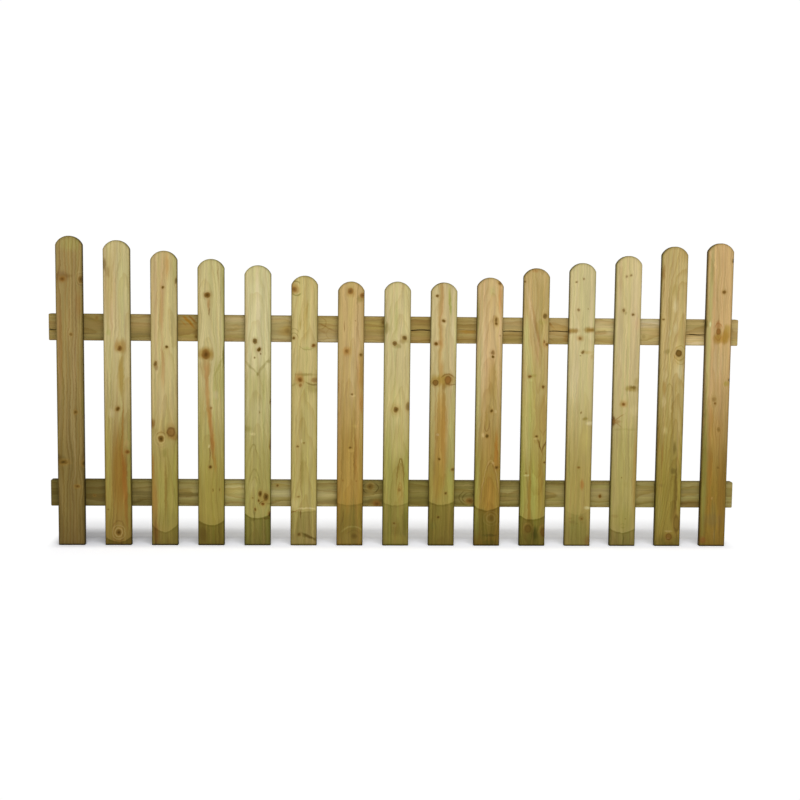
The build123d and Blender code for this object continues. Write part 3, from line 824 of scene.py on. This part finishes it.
               (-11, 46, 9, 0.6, 0.6, 1.2, -0.2), (31, 38, 8, 0.65, 0.8, 1.6, -0.15)],
        streaks=[(-6, 738, 9, 6, "#a8743c", 0.5), (-12, 630, 7, 80, "#c8b080", 0.7, -0.24),
                 (14, 660, 12, 50, "#ae9658", 0.4, -0.1), (0, 20, 34, 20, "#7a7234", 0.4),
                 (0, 596, 4, 70, "#a07e44", 0.65, -0.24), (4, 566, 3.5, 44, "#96743c", 0.6, -0.25),
                 (-6, 380, 10, 100, "#b0a45c", 0.5), (-18, 420, 12, 40, "#c0b87c", 0.4),
                 (15, 273, 2.8, 24, "#6f501c", 0.95, -0.38), (28, 272, 2.8, 22, "#6f501c", 0.95, 0.42),
                 (29, 309, 2.2, 12, "#765620", 0.6, 0.6), (19, 309, 2.2, 9, "#765620", 0.4, -0.5),
                 (-25, 560, 9, 70, "#b8b274", 0.75), (-17, 500, 12, 50, "#b6ae70", 0.75),
                 (18, 602, 9, 8, "#9c8e48", 0.5), (12, 590, 12, 20, "#a08a48", 0.4),
                 (28, 542, 9, 10, "#b08444", 0.5), (5, 530, 6, 40, "#ba9868", 0.6),
                 (-5, 460, 9, 5, "#94883e", 0.5), (-14, 447, 7, 4, "#c4bc7c", 0.5),
                 (22, 412, 7, 10, "#b5a068", 0.5), (-18, 330, 14, 115, "#b2aa64", 0.85),
                 (24, 350, 10, 80, "#a08444", 0.6), (5, 290, 6, 3.5, "#c0b070", 0.6),
                 (-18, 192, 7, 3, "#c0b878", 0.85), (2, 150, 7, 110, "#a2a050", 0.7),
                 (-9, 130, 4, 90, "#94742f", 0.75), (20, 170, 8, 110, "#8f7430", 0.7),
                 (-26, 150, 8, 110, "#9c9c4c", 0.6), (8, 34, 11, 22, "#4e4e16", 0.75)],
        arcs=[(-11, 62, 16, 0.08, 2.4, "#b8a05c", 0.6), (31, 58, 16, 0.1, 2.4, "#b89a5c", 0.6)]),
    "pale_12": dict(
        low=(160, "#a49151"), high=(540, "#c3b684"), damp=(86, 16, 0.16),
        pith=(20, 90, 0), drift=(0, 0.015, 0), ring=4, seed=12, contrast=0.22,
        knots=[(-18, 709, 2.6, 0.7, 0), (2, 718, 2.4, 0.55, 0, 1.2), (-10, 635, 3.8, 0.65, 0.3),
               (15, 638, 1.6, 0.45, 0.2), (-4, 560, 4.2, 0.7, 0.5, 0.9), (4, 523, 3.6, 0.8, 0.1, 1.2),
               (-2, 514, 1.7, 0.5, 0), (3, 361, 2.5, 0.6, 0.1), (0, 213, 3.6, 0.75, 0.5, 0.9),
               (11, 74, 3, 0.7, 0.4)],
        streaks=[(-32, 578, 6, 10, BROWN, 0.8), (-23, 580, 17, 8, "#947634", 0.85),
                 (23, 582, 19, 8.5, "#9a7c3a", 0.9), (24, 582, 9, 4, "#7e6226", 0.7),
                 (-4, 560, 10, 9, "#b08a4c", 0.4), (16, 523, 16, 5, "#b39c5c", 0.6),
                 (28, 511, 6, 8, "#a88c50", 0.5), (22, 480, 10, 60, "#c0a874", 0.3),
                 (-18, 440, 14, 60, "#cbbd90", 0.5), (14, 345, 9, 5, "#8a7836", 0.8),
                 (25, 333, 10, 6, "#cfc296", 0.85), (14, 290, 14, 50, "#b0a055", 0.35),
                 (10, 168, 6, 16, "#a07034", 0.75), (27, 104, 10, 5, "#c6bd8a", 0.8),
                 (-14, 66, 9, 5, "#8f7040", 0.7), (-2, 61, 5, 3, "#85642e", 0.6),
                 (9, 76, 7, 7, "#8a642c", 0.55), (-20, 76, 7, 3, "#94763c", 0.5),
                 (14, 64, 5, 3, "#94763c", 0.5), (-12, 50, 9, 5, "#a89c60", 0.4),
                 (27, 16, 9, 16, "#8c5c30", 0.7), (-28, 160, 5, 120, "#a09a50", 0.5),
                 (0, 34, 44, 54, "#85803e", 0.6)],
        arcs=[]),
    "pale_13": dict(
        low=(160, "#a39558"), high=(540, "#c3b280"), damp=(37, 13, 0.7),
        pith=(-25, 90, 0), drift=(0, 0.015, 0), ring=4.2, seed=13, contrast=0.22,
        knots=[(-6, 725, 3.4, 0.5, 0.1), (5, 728, 2.8, 0.6, 0.1), (-12, 635, 4, 0.7, 0.1, 1.2),
               (13, 624, 4, 0.82, 0.1, 0.9), (-6, 385, 4.8, 0.9, 0.6, 0.9), (-6, 186, 1.8, 0.5, 0),
               (7, 74, 2, 0.4, 0)],
        streaks=[(-18, 740, 16, 50, "#bca972", 0.4), (18, 700, 14, 100, "#cdbd8e", 0.5),
                 (-8, 628, 4, 5, OLIVE, 0.4), (26, 600, 8, 18, "#c8a87c", 0.5),
                 (14, 427, 20, 9, "#9a8440", 0.85), (19, 430, 9, 5, "#6f561c", 0.75),
                 (28, 445, 8, 12, "#a08c48", 0.5), (-5, 386, 10, 12, "#b08c4c", 0.55),
                 (22, 368, 14, 16, "#c8b884", 0.5), (-32, 340, 6, 15, "#6e4a1c", 0.95),
                 (-20, 347, 3, 14, "#8a6028", 0.65, 1.4), (-20, 331, 3, 12, "#8a6028", 0.5, -1.4),
                 (-23, 338, 13, 6, "#8f6a30", 0.65), (0, 250, 40, 100, "#a2965a", 0.5),
                 (0, 72, 38, 40, "#8f863e", 0.45), (6, 168, 7, 10, "#998c4c", 0.35),
                 (29, 200, 6, 130, "#a08040", 0.6), (-22, 82, 12, 5, "#85703a", 0.4),
                 (4, 17, 2, 12, "#5a561f", 0.6)],
        arcs=[(0, 317, 36, 0, 4, "#8f8444", 0.3), (1, 61, 7, 0.08, 1.6, OLIVE, 0.4),
              (1, 50, 7, -0.08, 1.6, OLIVE, 0.4)]),
    "pale_14": dict(
        low=(160, "#917f3a"), high=(560, "#b7a26b"), damp=(0, 0, 0.1),
        pith=(8, 34, 0), drift=(0.02, 0.05, 0), ring=3.6, seed=14, contrast=0.5,
        knots=[(-28, 612, 3.2, 0.75, 0.1, 0.8), (16.5, 523, 8.3, 1, 0.15, 1.1, -0.05),
               (24, 62, 7.8, 0.7, 0, 3, -0.6), (4, 26, 8.3, 0.9, 0.5, 1.15, -0.35)],
        streaks=[(-30, 735, 5, 26, "#8a642a", 0.65), (-29, 690, 3, 30, "#8a642a", 0.4),
                 (4, 648, 7, 20, "#c6b688", 0.8), (20, 475, 10, 24, "#c6b68a", 0.7),
                 (-8, 575, 6, 10, "#c0b080", 0.5), (-12, 640, 5, 40, "#a08c4c", 0.45),
                 (0, 690, 12, 18, "#ab975a", 0.6), (-20, 430, 5, 18, "#a4843e", 0.6),
                 (12, 430, 3, 30, "#947e3c", 0.55), (4, 350, 3, 60, "#8f7836", 0.6),
                 (22, 330, 5, 60, "#bba76c", 0.6), (-2, 380, 4, 40, "#b8a468", 0.5),
                 (-4, 240, 5, 60, "#a39048", 0.5), (24, 250, 4, 50, "#ac944f", 0.6),
                 (24, 150, 5, 40, "#9a8840", 0.5), (4, 12, 38, 22, "#6a5e26", 0.55),
                 (5, 41, 8, 3, "#b09c60", 0.7), (4, 590, 6, 14, "#c2b282", 0.6),
                 (-12, 526, 11, 8, "#8f7f42", 0.65), (-20, 392, 7, 16, "#c0ae78", 0.7),
                 (-14, 315, 7, 14, "#bcab70", 0.7), (-20, 462, 8, 16, "#bfae78", 0.5),
                 (8, 470, 10, 26, "#bfae78", 0.4), (30, 520, 4, 50, "#a8874a", 0.4),
                 (13, 268, 4, 20, "#6c5a28", 0.75), (12, 205, 8, 9, "#64521e", 0.65),
                 (18, 150, 5, 60, "#6a561f", 0.8), (14, 90, 5, 30, "#6a561f", 0.5),
                 (-20, 166, 9, 6, "#7a6630", 0.5), (-20, 250, 4, 40, "#87682a", 0.55),
                 (-31, 300, 4, 60, "#94702e", 0.5), (-24, 90, 11, 60, "#8c8440", 0.5),
                 (4, 22, 2, 3, "#c4a070", 0.9)],
        arcs=[(19, 542, 18, 0.05, 2, "#9c8444", 0.6), (19, 503, 20, -0.05, 2.4, "#9c8444", 0.7),
              (22, 493, 20, -0.04, 2, "#9c8444", 0.5), (-6, 440, 12, 0.2, 2, "#8f7a3c", 0.5)]),
    "pale_15": dict(
        low=(140, "#8a702d"), high=(560, "#c1a270"), damp=(0, 0, 0.1),
        pith=(-30, 60, 0), drift=(0, 0.01, 0), ring=3.8, seed=15, contrast=0.35,
        knots=[(34, 769, 5, 0.9, 0.1), (11, 686, 5, 0.9, 0.35), (-1, 581, 6, 0.9, 1, 1.3, -0.1),
               (34, 452, 5, 1, 0, 0.8), (-7, 399, 6, 0.4, 0.2, 1, 0.1), (-4, 389, 3.2, 0.78, 0.4, 0.9),
               (8, 318, 5, 0.5, 0.1, 1.2, 0.1), (10, 215, 4, 0.6, 0.1)],
        streaks=[(-27, 600, 8, 260, "#aea468", 0.75), (-28, 200, 8, 210, "#857d3d", 0.85),
                 (-1, 600, 4, 12, "#a8703c", 0.6), (20, 572, 18, 24, "#a07c34", 0.85),
                 (4, 559, 20, 13, "#a8823c", 0.75), (12, 566, 18, 18, "#a47f36", 0.75),
                 (24, 590, 12, 14, "#a88a40", 0.7), (-24, 600, 3, 9, "#d0cc9c", 0.8),
                 (-33, 602, 4, 11, OLIVE, 0.7), (0, 495, 24, 45, "#bda576", 0.5),
                 (27, 442, 9, 8, "#a08c40", 0.75), (-12, 340, 7, 60, "#a87c3c", 0.6),
                 (0, 300, 20, 60, "#a5823f", 0.4), (-10, 210, 8, 75, "#946b2d", 0.78),
                 (-10, 120, 7, 50, "#8c6228", 0.6), (-4, 132, 3, 5, "#b08c54", 0.6),
                 (20, 150, 12, 120, "#806026", 0.6), (0, 90, 10, 40, "#7a6c34", 0.5),
                 (-26, 17, 10, 10, "#8f5a2c", 0.7), (6, 30, 4, 20, "#8a7a4a", 0.4),
                 (0, 72, 30, 22, "#76643a", 0.35)],
        arcs=[(-1, 603, 12, 0.12, 2, "#94602c", 0.5), (-1, 559, 12, -0.12, 2, "#94602c", 0.5)]),
}

# Each rail's features: up from its middle line, and along from its middle, to the right
RAILS = {
    "upper_rail": dict(
        low=(-900, "#97834c"), high=(900, "#b59f68"),
        pith=(0, 110, 0), drift=(0.004, 0.01, 0), ring=4.6, seed=21, contrast=0.6,
        knots=[(24, -790, 5, 0.45, 0.5), (-22, -530, 5, 0.6, 0.2), (-4, -292, 7, 0.35, 0.2),
               (20, -37, 5, 0.5, 0.2), (20, 340, 4, 0.4, 0.2), (-12, 660, 5, 0.25, 0.1)],
        streaks=[(0, -360, 60, 150, "#aa9965", 0.7), (-22, -420, 10, 60, OCHRE, 0.15),
                 (-5, -285, 14, 30, OCHRE, 0.5), (-6, -551, 34, 60, "#a88f4c", 0.65),
                 (24, -372, 12, 130, "#bba978", 0.75), (17, -549, 6, 17, "#a0701e", 0.9, -1),
                 (25, -540, 4, 11, "#8f601c", 0.85, -0.9), (12, -562, 3, 9, "#a87c34", 0.6, -1),
                 (-14, -528, 10, 10, "#7a6028", 0.6), (0, -184, 34, 50, "#b0985c", 0.6),
                 (8, -190, 3, 22, "#8f7038", 0.7, -0.5), (-6, -198, 3, 14, "#9a7a44", 0.5, -0.6),
                 (8, 100, 60, 130, "#937a3e", 0.7), (-24, 140, 12, 150, "#8f763a", 0.6),
                 (16, -36, 9, 12, "#7a6230", 0.6), (14, 262, 9, 7, "#6a5228", 0.6),
                 (-3, 190, 6, 30, "#a0762a", 0.7), (20, 306, 14, 40, "#b49e6c", 0.7),
                 (-18, 306, 18, 46, "#8c7433", 0.6), (15, 412, 3, 14, "#966c28", 0.8, -1),
                 (22, 402, 3, 10, "#966c28", 0.6, -1), (8, 428, 11, 48, "#ba9c5c", 0.6),
                 (-24, 428, 12, 48, "#967e42", 0.55), (-18, 452, 12, 10, "#a07c3c", 0.7),
                 (-20, 410, 3, 10, "#8f7038", 0.5, -0.8), (0, 610, 60, 120, "#bba76e", 0.7),
                 (14, 551, 22, 60, "#c6b480", 0.75), (22, 668, 14, 70, "#d0c09a", 0.75),
                 (-23, 800, 14, 60, "#d8c290", 0.9), (14, 800, 14, 60, "#a08c54", 0.6),
                 (-10, 740, 30, 14, "#7a5426", 0.5), (-24, -184, 12, 55, "#bcab80", 0.5),
                 (-24, -306, 12, 50, "#b8a878", 0.4), (10, -61, 20, 50, "#a08a42", 0.5),
                 (-24, 551, 12, 50, "#a48c48", 0.4), (10, -796, 30, 50, "#7f6c36", 0.5),
                 (-4, -674, 20, 50, "#88733a", 0.3), (-26, -740, 16, 130, "#7f7240", 0.75),
                 (10, -680, 16, 60, "#a48e58", 0.5), (22, -674, 12, 50, "#b09a64", 0.75)],
        arcs=[(16, -188, 20, 0.05, 2, "#8c6a30", 0.5), (-12, -188, 16, -0.05, 1.6, "#8c6a30", 0.3)]),
    "lower_rail": dict(
        low=(-860, "#6b5e2e"), high=(-460, "#9a8d54"),
        pith=(0, 90, 0), drift=(0.006, 0.012, 0), ring=5, seed=22, contrast=0.75,
        knots=[(-7, -800, 3, 0.6, 0.2), (22, -316, 3.4, 0.85, 0.1), (20, -68, 8, 0.8, 0),
               (-26, -50, 8, 0.85, 0.5, 1.3), (-18, 200, 7, 0.85, 0.4, 1.3), (-4, 553, 4.5, 1, 0.3),
               (-22, -150, 5, 0.2, 0.1)],
        streaks=[(22, -674, 9, 50, "#857a42", 0.5), (0, -674, 9, 50, "#62562a", 0.6),
                 (-24, -796, 14, 50, "#766a3c", 0.6), (-26, -551, 12, 50, "#7a6e38", 0.5),
                 (20, -555, 10, 50, "#968a50", 0.6), (-2, -551, 10, 50, "#6e6230", 0.5),
                 (-22, -674, 16, 50, "#5a5024", 0.7), (6, -425, 24, 60, "#bcb172", 0.95),
                 (0, -306, 12, 60, "#b4a976", 0.85), (-2, -186, 13, 60, "#b0a36c", 0.85),
                 (-26, -186, 11, 50, "#a4965e", 0.7), (0, 70, 60, 210, "#74682f", 0.85),
                 (3, 140, 9, 190, "#8f8247", 0.55), (0, -58, 13, 30, "#9e9154", 0.65),
                 (6, 180, 8, 30, "#8c7f46", 0.4), (7, 310, 8, 60, "#948750", 0.5),
                 (8, 428, 8, 60, "#988a50", 0.6), (27, 306, 12, 180, "#6a5e2c", 0.62),
                 (-25, 306, 12, 55, "#74672c", 0.55), (-24, 680, 12, 50, "#85783c", 0.5),
                 (-12, 428, 8, 60, "#85783a", 0.5), (8, 560, 12, 60, "#9c8e5a", 0.6),
                 (4, 680, 26, 60, "#a09258", 0.6), (8, 800, 7, 60, "#96895a", 0.6),
                 (-26, 800, 13, 60, "#78602e", 0.8)],
        arcs=[(16, -46, 16, 0.06, 2.2, "#51431a", 0.7), (16, -90, 16, -0.06, 2.2, "#51431a", 0.7),
              (-10, 222, 22, 0.04, 2, "#554817", 0.6), (-10, 213, 16, 0.06, 1.8, "#554817", 0.6),
              (-10, 172, 22, -0.04, 2, "#554817", 0.6), (-10, 181, 16, -0.06, 1.8, "#554817", 0.6)]),
}


def dress(mesh, material):
    """Gives a board its one material."""
    mesh.materials.clear()
    mesh.materials.append(material)


def dress_pales():
    """Gives every pale its own timber."""
    for node, board in PALES.items():
        low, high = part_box(node)
        middle = (low.x + high.x) / 2
        mapping = {"Location": Vector((-middle, -low.y, -low.z)) / MM, "Scale": (1 / MM,) * 3}
        edge = pale_edge((high.z - low.z) / MM)
        damp = damp_foot(*board["damp"])
        wood = timber(node + "_timber", board, mapping, edge, damp, PALE_RIM_SHADE, PALE_SIDE_SHADE)
        dress(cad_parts[node].data, wood)


def rail_timber(node):
    """The timber of one rail, with the pattern turned to run along it."""
    low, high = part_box(node)
    middle = (low.z + high.z) / 2
    mapping = {"Location": Vector((-middle, -low.y, 0)) / MM, "Rotation": (0, radians(90), 0),
               "Scale": (-1 / MM, 1 / MM, 1 / MM)}
    edge = rail_edge(high.x / MM)
    return timber(node + "_timber", RAILS[node], mapping, edge, dry, RAIL_RIM_SHADE, RAIL_SIDE_SHADE)


def dress_lower_rail():
    """The lower rail is sound: its node stays and gets its timber."""
    dress(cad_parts["lower_rail"].data, rail_timber("lower_rail"))


# The upper rail has dried out and split along its face. Each check, in millimetres: where it starts and
# ends along the rail, how far above the middle line it runs, how wide it gapes and how deep it goes
CHECKS = ((-925, -889, -7, 3.0, 9), (22, 106, 0, 3.6, 12), (150, 226, 2, 0.9, 4), (262, 352, -1, 2.8, 10),
          (388, 478, 0, 3.2, 11), (524, 594, 0, 0.9, 4), (772, 832, -6, 4.0, 10))
CHECK_STEPS = 24

# A check strays a little up and down along its way, and starts with a hair's width and depth
CHECK_STRAY = 0.6
CHECK_BENDS = 9
LEAST_HALF_WIDTH = 0.05
LEAST_DEPTH = 0.2

# The rail's rounded edges are shaded smooth, up to this angle, and its flat faces, whose normal has one
# part this near to 1, are not
SMOOTH_ANGLE = radians(35)
FLAT = 0.999


def check_cutter(face, middle):
    """Thin wedges that open and close again along the grain, to be cut out of the rail's face."""
    shape = bmesh.new()
    for start, end, height, width, depth in CHECKS:
        last = None
        for step in range(CHECK_STEPS + 1):
            share = step / CHECK_STEPS
            gape = sqrt(1 - (2 * share - 1) ** 2)
            along = (start + (end - start) * share) * MM
            level = middle + (height + CHECK_STRAY * sin(start + CHECK_BENDS * share)) * MM
            half = (width * gape / 2 + LEAST_HALF_WIDTH) * MM
            ring = [shape.verts.new((along, face - MM, level + half)),
                    shape.verts.new((along, face - MM, level - half)),
                    shape.verts.new((along, face + (depth * gape + LEAST_DEPTH) * MM, level))]
            if last:
                for near, far in ((0, 1), (1, 2), (2, 0)):
                    shape.faces.new((last[near], last[far], ring[far], ring[near]))
            if step in (0, CHECK_STEPS):
                shape.faces.new(ring)
            last = ring
    bmesh.ops.recalc_face_normals(shape, faces=shape.faces)
    mesh = bpy.data.meshes.new("check_cutter")
    shape.to_mesh(mesh)
    shape.free()
    return new_object("check_cutter", mesh)


def split_upper_rail():
    """The upper rail, with its checks cut into the CAD shape, stands for its node."""
    low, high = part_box("upper_rail")
    shape = bmesh.new()
    shape.from_mesh(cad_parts["upper_rail"].data)
    bmesh.ops.remove_doubles(shape, verts=shape.verts, dist=0.01 * MM)
    mesh = bpy.data.meshes.new("upper_rail_board")
    shape.to_mesh(mesh)
    shape.free()
    rail = new_object("upper_rail_board", mesh)
    cutter = check_cutter(low.y, (low.z + high.z) / 2)
    split = rail.modifiers.new("checks", "BOOLEAN")
    split.operation = "DIFFERENCE"
    split.solver = "EXACT"
    split.object = cutter
    settle(rail, split)
    bpy.data.objects.remove(cutter)
    rail.data.shade_smooth()
    rail.data.set_sharp_from_angle(angle=SMOOTH_ANGLE)
    for face in rail.data.polygons:
        face.use_smooth = max(abs(part) for part in face.normal) < FLAT
    dress(rail.data, rail_timber("upper_rail"))
    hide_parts("upper_rail")
    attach(rail, "root")


def nail_metal():
    """Galvanised wire nails: dull grey zinc, mottled by the weather and a little rusty in places."""
    material, tree = new_material("galvanised_nail")
    shader = tree.nodes["Principled BSDF"]
    place = add(tree, "ShaderNodeTexCoord").outputs["Object"]
    # Spangle and rust show over about 2 mm
    mottle = add(tree, "ShaderNodeTexNoise", {"Vector": place, "Scale": 1 / (2 * MM), "Detail": 4.0})
    rust = add(tree, "ShaderNodeMapRange", {0: mottle, 1: 0.52, 2: 0.7})
    zinc = add(tree, "ShaderNodeMix", {0: rust, 6: linear("#8d8e8c"), 7: linear("#6e5138")}, **COLOUR_MIX)
    rough = add(tree, "ShaderNodeMapRange", {0: mottle, 1: 0.3, 2: 0.7, 3: 0.4, 4: 0.75})
    bump = add(tree, "ShaderNodeBump", {"Height": mottle, "Strength": 0.4, "Distance": 0.1 * MM})
    tree.links.new(zinc.outputs[2], shader.inputs["Base Color"])
    tree.links.new(rough.outputs[0], shader.inputs["Roughness"])
    tree.links.new(bump.outputs[0], shader.inputs["Normal"])
    shader.inputs["Metallic"].default_value = 1.0
    return material


# A nail, in millimetres: its head is a low cone that is narrower at its top and starts just in the wood.
# The two nails of a crossing stand one above the other, and each strays a little along and up
NAIL_HEAD = 5.2
NAIL_PROUD = 0.5
NAIL_SUNK = 0.1
HEAD_TAPER = 0.84
HEAD_SIDES = 20
NAILS_APART = 36.0
NAIL_STRAY = (6, 0, 3)
STRAY_SEED = 5


def nail_heads_group():
    """Nail heads on the rails' backs: a row of crossings on each rail, and a pair of heads at each."""
    takes = {"Crossings": "Int", "Pitch": "Vector", "First": "Vector", "Rail gap": "Vector",
             "Pair": "Vector", "Head radius": "Float", "Proud": "Float", "Stray": "Vector",
             "Seed": "Int", "Metal": "Material"}
    tree, given, result = new_group("nail_heads", takes, {"Geometry": "Geometry"}, "GeometryNodeTree")
    row = add(tree, "GeometryNodeMeshLine", {
        "Count": given["Crossings"], "Start Location": given["First"], "Offset": given["Pitch"]})
    rails = add(tree, "GeometryNodeMeshLine", {"Count": 2, "Offset": given["Rail gap"]})
    pair = add(tree, "GeometryNodeMeshLine", {"Count": 2, "Offset": given["Pair"]})
    crossings = add(tree, "GeometryNodeInstanceOnPoints", {"Points": row, "Instance": rails})
    laid_out = add(tree, "GeometryNodeRealizeInstances", {0: crossings})
    doubled = add(tree, "GeometryNodeInstanceOnPoints", {"Points": laid_out, "Instance": pair})
    places = add(tree, "GeometryNodeRealizeInstances", {0: doubled})
    against = add(tree, "ShaderNodeVectorMath", {0: given["Stray"], "Scale": -1.0}, operation="SCALE")
    strayed = add(tree, "FunctionNodeRandomValue", {
        "Min": against, "Max": given["Stray"], "Seed": given["Seed"]}, data_type="FLOAT_VECTOR")
    moved = add(tree, "GeometryNodeSetPosition", {"Geometry": places, "Offset": strayed})
    inner = add(tree, "ShaderNodeMath", {0: given["Head radius"], 1: HEAD_TAPER}, operation="MULTIPLY")
    head = add(tree, "GeometryNodeMeshCone", {
        "Vertices": HEAD_SIDES, "Radius Top": inner, "Radius Bottom": given["Head radius"],
        "Depth": given["Proud"]})
    heads = add(tree, "GeometryNodeInstanceOnPoints", {
        "Points": moved, "Instance": head, "Rotation": (radians(-90), 0, 0)})
    realised = add(tree, "GeometryNodeRealizeInstances", {0: heads})
    finished = add(tree, "GeometryNodeSetMaterial", {"Geometry": realised, "Material": given["Metal"]})
    tree.links.new(finished.outputs[0], result.inputs[0])
    return tree


def drive_nails():
    """Two nails at each crossing, driven from behind."""
    first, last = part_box("pale_01"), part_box("pale_15")
    lower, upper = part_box("lower_rail"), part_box("upper_rail")
    start = (first[0].x + first[1].x) / 2
    pitch = ((last[0].x + last[1].x) / 2 - start) / (len(PALES) - 1)
    middle = (lower[0].z + lower[1].z) / 2
    nails = new_object("nail_heads", bpy.data.meshes.new("nail_heads"))
    values = {
        "Crossings": len(PALES), "Pitch": (pitch, 0, 0),
        "First": (start, lower[1].y - NAIL_SUNK * MM, middle - NAILS_APART / 2 * MM),
        "Rail gap": (0, 0, upper[0].z - lower[0].z), "Pair": (0, 0, NAILS_APART * MM),
        "Head radius": NAIL_HEAD / 2 * MM, "Proud": NAIL_PROUD * MM,
        "Stray": [part * MM for part in NAIL_STRAY], "Seed": STRAY_SEED, "Metal": nail_metal()}
    driver = nails.modifiers.new("nail_heads", "NODES")
    driver.node_group = nail_heads_group()
    for socket in driver.node_group.interface.items_tree:
        if socket.in_out == "INPUT":
            driver[socket.identifier] = values[socket.name]
    nails.update_tag()
    settle(nails, driver)
    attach(nails, "root")


make_camera()
make_studio()
dress_pales()
dress_lower_rail()
split_upper_rail()
drive_nails()
